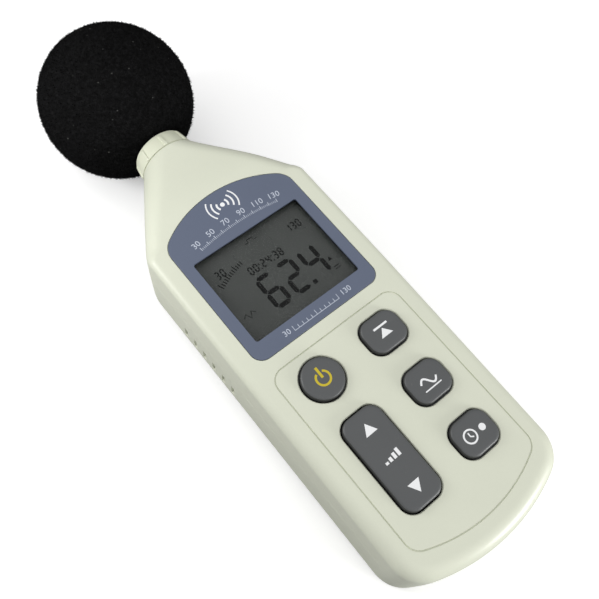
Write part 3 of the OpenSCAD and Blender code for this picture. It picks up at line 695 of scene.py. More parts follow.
CREAM_GRAIN = {"depth": 0.03, "bump": 0.3, "pitch": 2600, "drift": 0.035}
CASE = Finish("Cream moulding", "case_cream", (215, 218, 200), 0.38, **CREAM_GRAIN)
COLLAR = Finish("Cream collar", "collar_cream", (214, 217, 196), 0.42, **CREAM_GRAIN)
OVERLAY = Finish("Blue overlay film", "overlay_blue", (90, 99, 119), 0.42, depth=0.015, bump=0.2, pitch=3200)
CLEAR = Finish("Clear window", "window_clear", (40, 43, 42), 0.12, Grain.CLEAR, bump=0.02, drift=0.01)
LCD = Finish(
    "Liquid crystal cell", "lcd_cell", (65, 68, 66), 0.3, Grain.CRYSTAL, bump=0.03, drift=0.03, gloss=0.3
)
INK_LCD = Finish(
    "Display segments", "lcd_cell", (14, 15, 15), 0.5, Grain.SMOOTH, bump=0.02, drift=0.02, gloss=0.15
)
KEY = Finish("Grey key rubber", "key_grey", (81, 83, 84), 0.46, pitch=2400, depth=0.03, bump=0.3)
# Painted shade: a darker copy of the key rubber for the keys' steep walls, standing in for the shade on their
# sides.
KEY_WALL_PAINTED_SHADE = Finish("Key wall painted shade", "key_grey", (50, 51, 51), 0.6, pitch=2400, depth=0.03, bump=0.3)
WHITE_INK = Finish("White print", "key_grey", (238, 239, 240), 0.5, Grain.SMOOTH, bump=0.1, drift=0.02)
PALE_INK = Finish("Pale print", "overlay_blue", (192, 199, 212), 0.5, Grain.SMOOTH, bump=0.1, drift=0.03)
YELLOW_INK = Finish("Yellow print", "key_grey", (198, 178, 30), 0.5, Grain.SMOOTH, bump=0.1, drift=0.06)
MAT = Finish("Keypad silicone", "mat_rubber", (62, 62, 64), 0.6)
HOLDER = Finish("White holder", "holder_white", (226, 226, 220), 0.5)
LIGHT = Finish("Light plate", "light_plate", (236, 236, 226), 0.3, Grain.SMOOTH)
STRIP = Finish("Striped elastomer", "strip_rubber", (34, 34, 36), 0.65, Grain.BRUSHED, pitch=4000)
BOARD = Finish("Green solder mask", "board_green", (24, 92, 52), 0.35, Grain.BOARD, depth=0.03, coat=0.3)
RESIN = Finish("Chip resin", "chip_black", (30, 30, 32), 0.5, pitch=3500)
CAN = Finish("Drawn steel can", "can_metal", (190, 190, 192), 0.3, Grain.BRUSHED, 1.0, pitch=2600)
SOCKET = Finish("Black socket moulding", "socket_black", (22, 22, 24), 0.38)
TRIMMER = Finish("Blue trimmer moulding", "trimmer_blue", (34, 72, 160), 0.35)
GOLD = Finish("Plated brass", "contact_gold", (214, 176, 96), 0.3, Grain.BRUSHED, 1.0)
STEEL = Finish("Zinc plated steel", "screw_steel", (178, 180, 184), 0.32, Grain.BRUSHED, 1.0, pitch=3000)
SEAL = Finish("Black seal rubber", "seal_rubber", (20, 20, 20), 0.6)
TUBE = Finish("Satin aluminium", "tube_metal", (160, 163, 168), 0.34, Grain.BRUSHED, 1.0, pitch=3200)
FOAM_GRAIN = {"drift": 0.2, "pitch": 1500, "depth": 0.5, "bump": 0.8, "gloss": 0.0}
FOAM = Finish("Open cell foam", "foam_black", (20, 20, 20), 0.95, Grain.FOAM, **FOAM_GRAIN)
WRAP = Finish("Cell wrap", "cell_wrap", (26, 30, 40), 0.3, Grain.WRAP, depth=0.01, bump=0.05)
NICKEL = Finish("Nickel plate", "contact_nickel", (196, 192, 184), 0.28, Grain.BRUSHED, 1.0)
BRASS = Finish("Machined brass", "insert_brass", (202, 164, 88), 0.3, Grain.BRUSHED, 1.0, pitch=3000)

CAD_FINISHES: dict[str, Finish] = {
    "display_window": CLEAR,
    "lcd_holder": HOLDER,
    "lcd_glass": LCD,
    "backlight_plate": LIGHT,
    "contact_strips": STRIP,
    "keypad_mat": MAT,
    "main_board": BOARD,
    "processor_chip": RESIN,
    "board_parts": RESIN,
    "crystal_can": CAN,
    "output_jack": SOCKET,
    "power_jack": SOCKET,
    "usb_socket": CAN,
    "trimmer_body": TRIMMER,
    "trimmer_rotor": GOLD,
    "board_screws": STEEL,
    "tube_seal": SEAL,
    "microphone_tube": TUBE,
    "microphone_capsule": CAN,
    "microphone_grid": TUBE,
    "preamp_board": BOARD,
    "board_link": SOCKET,
    **{f"battery_cell_{number}": WRAP for number in range(1, 5)},
    "spring_contacts": NICKEL,
    "plate_contacts": NICKEL,
    "tripod_insert": BRASS,
    "case_screws": STEEL,
}


def finish_piece(piece: bpy.types.Object, body: str, finish: Finish, *nodes: str) -> bpy.types.Object:
    """Dresses a new piece, makes it ride and hides the CAD nodes that it stands for.

    Args:
        piece: The new piece.
        body: The body that it rides on.
        finish: Its finish.
        nodes: CAD nodes that it replaces, if any.

    Returns:
        The piece.
    """
    piece.data.materials.clear()
    piece.data.materials.append(finish.material())
    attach(piece, body)
    if nodes:
        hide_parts(*nodes)
    log.info("%s: %d faces, rides on %s", piece.name, len(piece.data.polygons), body)
    return piece


# ---------------------------------------------------------------- the case


def ease(t: Array) -> Array:
    """A smooth step: t * t * (3 - 2 * t) for t from 0 to 1."""
    return t * t * (3 - 2 * t)


@dataclass
class CaseShape:
    """Plan and section of the case, from which both shells and the battery door are made."""

    half_width: float = 35.2
    depth: float = 35.0
    low_end: float = -118.0
    end_radius: float = 75.5
    corner_radius: float = 13.0
    shoulder_radius: float = 14.5
    shoulder_y: float = 27.0
    neck_y: float = 67.6
    neck_radius: float = 12.5
    axis_height: float = 19.5
    wall: float = 2.2
    draft: float = 0.15
    front_edge: float = 3.0
    front_slope_edge: float = 7.0
    back_edge: float = 2.0
    back_slope_edge: float = 3.0
    least_inner_edge: float = 0.8
    end_swell: float = 2.2
    swell_from: float = -20.0
    swell_length: float = 85.0
    neck_power: float = 1.4
    fall_start: float = 0.25
    seam: float = 0.14
    end_steps: int = 28
    corner_steps: int = 20
    side_steps: int = 40
    shoulder_steps: int = 20
    slope_steps: int = 44
    edge_steps: int = 14
    face_steps: int = 8

    @property
    def end_middle(self) -> float:
        """Y of the middle of the lower end's arc."""
        return self.low_end + self.end_radius

    @property
    def corner_y(self) -> float:
        """Y of the middle of the corner's arc, which touches the side and the lower end's arc."""
        cx = self.half_width - self.corner_radius
        return self.end_middle - math.sqrt((self.end_radius - self.corner_radius) ** 2 - cx**2)

    def stations(self) -> tuple[Array, Array, Array, Array]:
        """Places round the right half of the plan, from the middle of the lower end to the neck.

        The lower end, the corner and the shoulder are arcs, the side is straight, and along the slope
        the inward direction turns smoothly until it points across the neck.

        Returns:
            Points, inward directions, the blend from side to slope, and the blend from slope to neck.
        """
        cx, cy = self.half_width - self.corner_radius, self.corner_y
        end_angle = math.degrees(math.atan2(cy - self.end_middle, cx))
        sx = self.half_width - self.shoulder_radius
        rise, run = self.neck_y - self.shoulder_y, self.neck_radius - sx
        lean = math.degrees(math.atan2(rise, run) - math.acos(self.shoulder_radius / math.hypot(run, rise)))
        a = np.linspace(-90, end_angle, self.end_steps + 1)[:-1]
        b = np.linspace(end_angle, 0, self.corner_steps + 1)[:-1]
        c = np.linspace(0, lean, self.shoulder_steps + 1)[:-1]
        t = np.linspace(0, 1, self.slope_steps + 1)
        side_y = np.linspace(cy, self.shoulder_y, self.side_steps + 1)[:-1]
        side = np.zeros(self.side_steps)
        start = np.array([sx, self.shoulder_y]) + self.shoulder_radius * turn(lean)
        finish = np.array([self.neck_radius, self.neck_y])
        points = [
            np.array([0, self.end_middle]) + self.end_radius * turn(a),
            np.array([cx, cy]) + self.corner_radius * turn(b),
            np.column_stack([side + self.half_width, side_y]),
            np.array([sx, self.shoulder_y]) + self.shoulder_radius * turn(c),
            start + t[:, None] * (finish - start),
        ]
        inward = [-turn(a), -turn(b), -turn(side), -turn(c), -turn(lean * (1 - ease(t)))]
        straight = self.end_steps + self.corner_steps + self.side_steps
        shoulder = ease(np.linspace(0, 1, self.shoulder_steps + 1)[:-1])
        slope = np.concatenate([np.zeros(straight), shoulder, np.ones(len(t))])
        neck = np.concatenate([np.zeros(straight + self.shoulder_steps), t])
        return np.concatenate(points), np.concatenate(inward), slope, neck

    def skin(
        self, inset: float, edge: float, slope_edge: float, height: float, side: int, seam: float
    ) -> Array:
        """A grid over one half of the case: along the outline, and from the parting line to the middle.

        Each line goes up the wall, round the edge on a quarter circle, and over the face to the spine.
        The edge's radius grows into the neck's own circle, and the face falls to the neck's height.
        In front the radius also grows towards the lower end.

        Args:
            inset: How far inside the outer surface the grid lies.
            edge: Edge radius along the straight sides.
            slope_edge: Edge radius along the slopes.
            height: Height of the face over the parting line.
            side: 1 in front of the parting line, -1 behind it.
            seam: Depth of the small chamfer at the parting line.

        Returns:
            An array of lines by points by three, all round from the right of the neck to its left.
        """
        at, inward, slope, neck = self.stations()
        r = edge + (slope_edge - edge) * slope
        if side > 0:
            r = r + self.end_swell * np.clip((self.swell_from - at[:, 1]) / self.swell_length, 0, 1)
        r = r + (self.neck_radius - inset - r) * neck**self.neck_power
        late = np.clip((neck - self.fall_start) / (1 - self.fall_start), 0, 1)
        h = height + (self.neck_radius - inset - height) * ease(late)
        d = inset + self.draft * (1 - neck) + r
        dy = d - inset * neck
        spine = at[:, 1] + inward[:, 1] * dy
        bottom = self.end_steps + self.corner_steps
        spine[:bottom] = np.linspace(self.low_end + d[0] + 1, self.corner_y - 1, bottom)
        a = np.radians(np.linspace(0, 90, self.edge_steps + 1))[None]
        back = r[:, None] * np.cos(a)
        wall_x = at[:, :1] + inward[:, :1] * (inset + np.array([[seam, 0.0]]))
        wall_y = at[:, 1:] + inward[:, 1:] * (inset * (1 - neck[:, None]) + np.array([[seam, 0.0]]))
        edge_x = at[:, :1] + inward[:, :1] * (d[:, None] - back)
        edge_y = at[:, 1:] + inward[:, 1:] * (dy[:, None] - back)
        edge_z = h[:, None] - r[:, None] * (1 - np.sin(a))
        t = np.linspace(0, 1, self.face_steps + 1)[None, 1:]
        top_x = edge_x[:, -1:] * (1 - t)
        top_y = edge_y[:, -1:] + (spine[:, None] - edge_y[:, -1:]) * t
        wall_z = np.array([[0.0, seam]]).repeat(len(at), 0)
        top_z = h[:, None].repeat(self.face_steps, 1)
        x = np.concatenate([wall_x, edge_x, top_x], axis=1)
        y = np.concatenate([wall_y, edge_y, top_y], axis=1)
        z = np.concatenate([wall_z, edge_z, top_z], axis=1)
        right = np.stack([x, y, self.axis_height + side * z], axis=-1)[::-1]
        return np.concatenate([right, right[-2::-1] * (-1, 1, 1)])

    def half(self, side: int) -> tuple[float, float, float]:
        """The sizes of one half.

        Args:
            side: 1 for the front, -1 for the back.

        Returns:
            Edge radius, slope edge radius, and height over the parting line.
        """
        if side > 0:
            return self.front_edge, self.front_slope_edge, self.depth - self.axis_height
        return self.back_edge, self.back_slope_edge, self.axis_height

    def hollow(self, name: str, side: int) -> bpy.types.Object:
        """A hollow half: the outer and the inner grid, joined along the parting line and the neck's rim.

        Args:
            name: Name of the piece.
            side: 1 for the front, -1 for the back.

        Returns:
            The piece.
        """
        edge, slope_edge, height = self.half(side)
        inner_edge = max(edge - self.wall, self.least_inner_edge)
        inner_slope_edge = max(slope_edge - self.wall, self.least_inner_edge)
        outer = self.skin(0, edge, slope_edge, height, side, self.seam)
        inner = self.skin(self.wall, inner_edge, inner_slope_edge, height - self.wall, side, 0.0)
        rows, cols = outer.shape[:2]
        other = rows * cols
        faces = grid_faces(rows, cols, False, False) + grid_faces(rows, cols, False, False, other)
        i, j = np.arange(rows - 1) * cols, np.arange(cols - 1)
        rims = [np.stack([i, i + cols, i + cols + other, i + other], axis=-1)]
        for k in (0, (rows - 1) * cols):
            rims.append(np.stack([k + j, k + j + 1, k + j + 1 + other, k + j + other], axis=-1))
        faces += np.concatenate(rims).tolist()
        return Solid().add(np.concatenate([outer, inner]), faces).piece(name)

    def block(self, name: str, side: int) -> bpy.types.Object:
        """A solid half, closed by one face at the parting line and one at the neck.

        Args:
            name: Name of the piece.
            side: 1 for the front, -1 for the back.

        Returns:
            The piece.
        """
        edge, slope_edge, height = self.half(side)
        grid = self.skin(0, edge, slope_edge, height, side, 0.0)
        rows, cols = grid.shape[:2]
        rim = (np.arange(rows) * cols).tolist()
        neck = list(range(cols)) + [(rows - 1) * cols + k for k in range(cols - 2, -1, -1)]
        return Solid().add(grid, grid_faces(rows, cols, False, False) + [rim, neck]).piece(name)


WINDOW = (46.6, 36.8)
WINDOW_CORNER = 1.0
PANEL = ArchedField(27.85, 38.7, 44.6, 7.7, -25.5, 4.8)
KEY_FIELD = ArchedField(28.0, 108.9, 61.3, 5.9, 30.5, 5.3, downward=True)


@dataclass
class Keypad:
    """The keys: where each lies and how it is shaped."""

    power: tuple[float, float] = (-13.8, -42.1)
    power_diameter: float = 15.4
    column: float = 13.8
    top: float = -42.1
    pitch: float = 22.6
    key: tuple[float, float] = (15.5, 13.3)
    corner: float = 4.6
    rocker: tuple[float, float] = (-13.3, -76.0)
    rocker_size: tuple[float, float] = (15.8, 36.3)
    gap: float = 0.6
    face: float = 35.0
    proud: float = 1.6
    flange_low: float = 31.4
    flange_high: float = 32.6
    flange: float = 1.2
    fillet: float = 1.25
    rise: float = 1.0
    crown: float = 0.03
    chamfer: float = 0.35
    least_corner: float = 0.4
    round_slack: float = 0.01
    corner_steps: int = 10
    plunger_low: float = 28.5
    plunger_high: float = 31.5
    plunger_radius: float = 3.0
    rocker_plunger_radius: float = 2.4
    rocker_plunger_share: float = 0.33
    beam_half: float = 2.0
    beam_z: tuple[float, float] = (29.5, 31.6)
    beam_inset: float = 0.5
    rod_radius: float = 1.0
    rod_z: float = 30.9
    rod_proud: float = 2.5
    wall_facing: float = 0.62

    def squares(self) -> list[tuple[str, tuple[float, float]]]:
        """Name and middle of each square key, from the top down."""
        names = ("peak_key", "weighting_key", "response_key")
        return [(n, (self.column, self.top - i * self.pitch)) for i, n in enumerate(names)]

    def cap(
        self,
        solid: Solid,
        size: tuple[float, float],
        corner: float,
        at: Sequence[float],
        flanged: bool = True,
    ) -> None:
        """Adds a cap: outlines stacked up the wall, then drawn in over a quarter ellipse to a flat top.

        Args:
            solid: What the cap is added to.
            size: Width and length.
            corner: Corner radius.
            at: Middle in the plan.
            flanged: Whether a flange holds it under the face.
        """
        up = self.face + self.proud
        t = np.radians(np.linspace(0, 90, 9))
        drawn_in = self.fillet * (1 - np.cos(t)) + 0.02
        rounded = up - self.crown - self.rise * (1 - np.sin(t))
        if flanged:
            out = -self.flange
            foot = [(out, self.flange_low), (out, self.flange_high), (0.0, self.flange_high)]
        else:
            foot = [(0.0, self.flange_low - 0.1)]
        foot += [(0.0, self.flange_high), (0.0, up - self.rise - 0.3)]
        top = [(self.fillet + 0.5, up - 0.005), (self.fillet + 1.2, up)]
        rings = []
        for inset, z in [*foot, *zip(drawn_in, rounded), *top]:
            radius = max(corner - inset, self.least_corner)
            outline = rounded_rectangle(size[0] - 2 * inset, size[1] - 2 * inset, radius, self.corner_steps)
            rings.append(lift(outline + np.asarray(at), z))
        solid.loft(rings)

    def plunger(self, solid: Solid, at: Sequence[float], radius: float, high: float) -> None:
        """Adds the round plunger under a cap."""
        solid.prism(disc(radius, 32) + np.asarray(at), self.plunger_low, high)

    def round_key(self) -> tuple[tuple[float, float], float]:
        """Size and corner radius of the round power key."""
        return (self.power_diameter, self.power_diameter), self.power_diameter / 2 - self.round_slack

    def openings(self, solid: Solid) -> None:
        """Adds the cutters of the openings round the keys, flared at the face for a small chamfer.

        Args:
            solid: What the cutters are added to.
        """
        shapes = [(at, self.key, self.corner) for _, at in self.squares()]
        shapes.append((self.power, *self.round_key()))
        shapes.append((self.rocker, self.rocker_size, self.corner))
        flare = self.gap + self.chamfer
        levels = ((self.gap, 30.0), (self.gap, self.face - self.chamfer), (flare, self.face + 0.05))
        for at, (width, length), corner in shapes:
            rings = []
            for grow, z in levels:
                size = (width + 2 * grow, length + 2 * grow)
                outline = rounded_rectangle(*size, corner + grow, self.corner_steps)
                rings.append(lift(outline + np.asarray(at), z))
            solid.loft(rings)

    def build(self) -> None:
        """Makes the five keys, each on its own body."""
        for name, at in self.squares():
            self.push_key(name, at, self.key, self.corner)
        self.push_key("power_key", self.power, *self.round_key())
        self.level_rocker()

    def push_key(self, name: str, at: Sequence[float], size: tuple[float, float], corner: float) -> None:
        """Makes one key that is pressed straight in.

        Args:
            name: Name of its body and of its CAD node.
            at: Middle in the plan.
            size: Width and length.
            corner: Corner radius.
        """
        solid = Solid()
        self.cap(solid, size, corner, at)
        self.plunger(solid, at, self.plunger_radius, self.plunger_high)
        self.paint_wall_shade(finish_piece(solid.piece(f"{name}_cap"), name, KEY, name))

    def level_rocker(self) -> None:
        """Makes the long rocker with its beam, two plungers and the rod that it tilts on."""
        solid = Solid()
        self.cap(solid, self.rocker_size, self.corner, self.rocker, flanged=False)
        half = self.rocker_size[0] / 2
        x, y = self.rocker
        low, high = self.beam_z
        end = half - self.beam_inset
        solid.box((x - end, y - self.beam_half, low), (x + end, y + self.beam_half, high))
        for s in (-1, 1):
            place = (x, y + s * self.rocker_plunger_share * self.rocker_size[1])
            self.plunger(solid, place, self.rocker_plunger_radius, high)
        reach = half + self.rod_proud
        rod = [(0.0, -reach), (self.rod_radius, -reach), (self.rod_radius, reach), (0.0, reach)]
        solid.lathe(np.array(rod), ALONG_X, (x, y, self.rod_z), 32)
        self.paint_wall_shade(finish_piece(solid.piece("level_rocker_cap"), "level_rocker", KEY, "level_rocker"))

    def paint_wall_shade(self, cap: bpy.types.Object) -> None:
        """Gives a cap's steep wall a darker copy of the key rubber: painted shade for the key's sides.

        Args:
            cap: The finished cap.
        """
        _, normal = face_places(cap.data)
        second_finish(cap.data, KEY_WALL_PAINTED_SHADE, normal[:, 2] < self.wall_facing)


def face_places(mesh: bpy.types.Mesh) -> tuple[Array, Array]:
    """Middle and outward direction of every face.

    Args:
        mesh: The mesh.

    Returns:
        Middles in millimetres and unit normals, one row for each face.
    """
    middle, normal = np.empty(len(mesh.polygons) * 3), np.empty(len(mesh.polygons) * 3)
    mesh.polygons.foreach_get("center", middle)
    mesh.polygons.foreach_get("normal", normal)
    return middle.reshape(-1, 3) / MM, normal.reshape(-1, 3)


def second_finish(mesh: bpy.types.Mesh, finish: Finish, chosen: Array) -> None:
    """Adds a second finish to a mesh, for the faces that are chosen.

    Args:
        mesh: The mesh, which has its first finish.
        finish: The second finish.
        chosen: True for each face that gets it.
    """
    mesh.materials.append(finish.material())
    mesh.polygons.foreach_set("material_index", chosen.astype(np.int32))
    mesh.update()


@dataclass
class BatteryDoor:
    """The door that slides off the back towards the lower end."""

    shape: CaseShape
    half: float = 29.8
    top: float = -43.4
    low: float = 0.3
    high: float = 2.0
    rail_inner: float = 0.4
    rail_outer: float = 0.95
    rail_end: float = -108.6
    tongue_half: float = 20.0
    grips: int = 6
    grip_first: float = -106.0
    grip_pitch: float = 2.4
    grip_half: float = 12.0

    def build(self) -> None:
        """Makes the plate from the case's own solid half, then its rails, tongue and grip."""
        plate = self.shape.block("door_plate", -1)
        past_end = -130.0
        rim = [(-self.half, past_end), (self.half, past_end), (self.half, self.top), (-self.half, self.top)]
        tool = Solid().prism(np.array(rim), self.low, self.high)
        carve(plate, tool.piece("door_tool"), "INTERSECT")
        finish_piece(plate, "battery_door", CASE, "battery_door")
        trim = Solid()
        for s in (-1, 1):
            left, right = sorted((s * (self.half - self.rail_inner), s * (self.half + self.rail_outer)))
            trim.box((left, self.rail_end, 1.12), (right, self.top - 1, 1.88))
        trim.box((-self.tongue_half, self.top - 0.6, 1.15), (self.tongue_half, self.top + 2.4, 1.95))
        t = np.radians(np.linspace(0, 180, 9))
        for i in range(self.grips):
            y = self.grip_first + i * self.grip_pitch
            bar = np.column_stack([np.cos(t) * 0.6 + y, 0.34 - np.sin(t) * 0.24])
            ends = [np.column_stack([np.full(len(t), x), bar]) for x in (-self.grip_half, self.grip_half)]
            trim.loft(ends)
        finish_piece(trim.piece("door_trim"), "battery_door", CASE)


def both_sides(places: Sequence[tuple[float, float]]) -> list[tuple[float, float]]:
    """Each place and its mirror image across the middle, the left one first."""
    return [(s * x, y) for x, y in places for s in (-1, 1)]


@dataclass
class Shells:
    """Both shells of the case, with what is cut into them and what stands inside them."""

    shape: CaseShape
    keypad: Keypad
    door: BatteryDoor
    recess_depth: float = 0.7
    pocket_margin: float = 2.1
    pocket_z: tuple[float, float] = (31.5, 33.4)
    groove_depth: float = 0.42
    jacks: tuple[tuple[float, float, float], ...] = ((2.0, 23.0, 2.9), (-23.4, 22.75, 3.2), (13.0, 22.7, 1.8))
    jack_flare: float = 0.45
    usb_size: tuple[float, float] = (8.4, 3.75)
    usb_at: tuple[float, float] = (-11.0, 24.22)
    case_screws: tuple[tuple[float, float], ...] = ((28.4, 25.0), (28.4, -38.0))
    posts: tuple[tuple[float, float], ...] = ((14.0, 37.0), (28.4, -30.8), (20.5, -104.4))
    slots: int = 6
    slot_size: tuple[float, float] = (1.6, 6.2)
    slot_top: float = 8.7
    slot_pitch: float = 5.76
    slot_z: float = 7.8
    bay_half: float = 29.2
    bay_top: float = -48.0
    bay_end: float = -102.7
    bay_wall: float = 1.4
    bay_z: tuple[float, float] = (2.05, 18.2)
    shelf_half: float = 33.2
    shelf_z: float = 3.2

    def build(self) -> None:
        """Makes the shells and their inner fittings."""
        self.front()
        self.back()
        finish_piece(self.front_fittings().piece("front_fittings"), "case", CASE)
        finish_piece(self.back_fittings().piece("back_fittings"), "case", CASE)

    def front(self) -> None:
        """The front shell: panel recess, window, key openings, groove and the sockets' holes."""
        body = self.shape.hollow("front_case", 1)
        face = self.shape.depth
        levels = ((0.0, face - self.recess_depth), (0.0, face - 0.1), (0.15, face + 0.06), (0.15, face + 1))
        recess = Solid().loft([lift(PANEL.outline(grow), z) for grow, z in levels])
        carve(body, recess.piece("recess"))
        window = Solid().prism(rounded_rectangle(*WINDOW, WINDOW_CORNER), 31.6, face + 1)
        carve(body, window.piece("window_tool"))
        x, y = (size / 2 + self.pocket_margin for size in WINDOW)
        low, high = self.pocket_z
        carve(body, Solid().box((-x, -y, low), (x, y, high)).piece("pocket_tool"))
        openings = Solid()
        self.keypad.openings(openings)
        carve(body, openings.piece("openings"))
        bed = face - self.groove_depth
        section = (
            (0.1, face + 0.3), (0.05, face), (-0.08, bed), (-0.37, bed), (-0.5, face), (-0.55, face + 0.3)
        )
        groove = Solid().loft([lift(KEY_FIELD.outline(grow), z) for grow, z in section], ring_closed=True)
        carve(body, groove.piece("groove"))
        carve(body, self.side_holes().piece("side_holes"))
        finish_piece(body, "case", CASE, "front_shell")
        self.paint_window_lip_shade(body)

    def side_holes(self) -> Solid:
        """The cutters of the holes in the right side: three round ones with a flare, and a flat one.

        Returns:
            The cutters as one solid.
        """
        holes = Solid()
        for y, z, r in self.jacks:
            wide = r + self.jack_flare
            rim = [(0.0, 32.0), (r, 32.0), (r, 34.7), (wide, 35.3), (wide, 36.0), (0.0, 36.0)]
            holes.lathe(np.array(rim), ALONG_X, (0, y, z), 48)
        usb = rounded_rectangle(*self.usb_size, 0.4)
        holes.loft([np.column_stack([np.full(len(usb), x), usb + self.usb_at]) for x in (32.0, 36.0)])
        return holes

    def paint_window_lip_shade(self, body: bpy.types.Object) -> None:
        """Gives the walls of the window opening a black finish: painted shade for the recess round the
        display.

        Args:
            body: The finished front shell.
        """
        middle, normal = face_places(body.data)
        x, y = (size / 2 + 0.2 for size in WINDOW)
        inside = (np.abs(middle[:, 0]) < x) & (np.abs(middle[:, 1]) < y)
        # Painted shade: the steep walls inside the window's edge get the black finish.
        second_finish(body.data, SOCKET, inside & (np.abs(normal[:, 2]) < 0.5))

    def back(self) -> None:
        """The back shell: side slots, door recess, screw holes and the tripod socket's hole."""
        body = self.shape.hollow("back_case", -1)
        past_end, top = -130.0, self.door.top
        edge = self.door.half + 0.2
        recess = Solid().box((-edge, past_end, -1.0), (edge, top + 0.2, 2.6))
        carve(body, recess.piece("door_recess"))
        edge = self.door.half + self.door.rail_outer + 0.25
        grooves = Solid().box((-edge, past_end, 1.0), (edge, top + 0.2, 2.1))
        carve(body, grooves.piece("rail_grooves"))
        edge = self.door.tongue_half + 0.2
        pocket = Solid().box((-edge, top - 1, 1.0), (edge, top + 2.6, 2.1))
        carve(body, pocket.piece("tongue_pocket"))
        holes = Solid()
        sink = np.array([(0.0, -1.0), (3.3, -1.0), (3.3, 0.0), (2.9, 0.35), (2.9, 3.0), (0.0, 3.0)])
        for x, y in both_sides(self.case_screws):
            holes.lathe(sink, ALONG_Z, (x, y, 0), 40)
        socket = np.array([(0.0, -1.0), (4.4, -1.0), (4.4, 0.0), (4.06, 0.3), (4.06, 4.0), (0.0, 4.0)])
        holes.lathe(socket, ALONG_Z, (0, 0, 0), 56)
        slot = rounded_rectangle(*self.slot_size, 0.5, 5)
        for i in range(self.slots):
            at = (self.slot_top - i * self.slot_pitch, self.slot_z)
            rings = []
            for x, grow in ((-36.5, 1.25), (-35.0, 1.1), (-34.8, 1.0), (-31.0, 1.0)):
                rings.append(np.column_stack([np.full(len(slot), x), slot * grow + at]))
            holes.loft(rings)
        carve(body, holes.piece("back_holes"))
        finish_piece(body, "case", CASE, "back_shell")

    def front_fittings(self) -> Solid:
        """Screw bosses, board posts, the rocker's lugs and the ring in the neck.

        Returns:
            All of them as one solid.
        """
        front = Solid()
        boss = np.array([(1.35, 19.6), (3.4, 19.6), (3.4, 33.1), (1.35, 33.1)])
        for x, y in both_sides(self.case_screws):
            front.lathe(boss, ALONG_Z, (x, y, 0), 36)
        post = np.array([(1.1, 27.6), (2.4, 27.6), (2.4, 33.1), (1.1, 33.1)])
        for x, y in both_sides(self.posts):
            front.lathe(post, ALONG_Z, (x, y, 0), 28)
        x, y = self.keypad.rocker
        for s in (-1, 1):
            lug = x + s * (self.keypad.rocker_size[0] / 2 + 1.75)
            front.box((lug - 0.75, y - 2.4, 28.7), (lug + 0.75, y + 2.4, 33.1))
        ring = np.array([(9.25, 61.6), (12.2, 61.6), (12.2, 63.6), (9.25, 63.6)])
        front.lathe(ring, ALONG_Y, (0, 0, self.shape.axis_height), 64)
        return front

    def back_fittings(self) -> Solid:
        """Screw bosses, the tripod socket's boss, and the battery bay with its shelf.

        Returns:
            All of them as one solid.
        """
        back = Solid()
        boss = np.array([(2.9, 1.5), (4.2, 1.5), (4.2, 19.4), (1.6, 19.4), (1.6, 10.0), (2.9, 10.0)])
        for x, y in both_sides(self.case_screws):
            back.lathe(boss, ALONG_Z, (x, y, 0), 36)
        socket = np.array([(4.05, 0.6), (6.2, 0.6), (6.2, 10.6), (0.0, 10.6), (0.0, 9.02), (4.05, 9.02)])
        back.lathe(socket, ALONG_Z, (0, 0, 0), 48)
        h, top, end, wall = self.bay_half, self.bay_top, self.bay_end, self.bay_wall
        low, high = self.bay_z
        back.box((-h - wall, end - wall, low), (-h, top + wall, high))
        back.box((h, end - wall, low), (h + wall, top + wall, high))
        back.box((-h, top, low), (h, top + wall, high))
        back.box((-h, end - wall, low), (h, end, high))
        back.box((-h, end, 16.9), (h, top, high))
        far, shelf = self.shelf_half, self.shelf_z
        back.box((-far, top - 0.2, low), (far, self.door.top + 3.4, shelf))
        back.box((-far, end, low), (-h - 0.4, top, shelf))
        back.box((h + 0.4, end, low), (far, top, shelf))
        rim = arc((0, self.shape.end_middle), self.shape.end_radius - 1.2, -112.5, -67.5, 24)
        back.prism(np.concatenate([rim, [(29.0, end), (-29.0, end)]]), low, 4.0)
        return back


# ---------------------------------------------------------------- prints and display


SEGMENTS = {
    "0": "abcdef",
    "1": "bc",
    "2": "abged",
    "3": "abgcd",
    "4": "fgbc",
    "6": "afgedc",
    "8": "abcdefg",
}


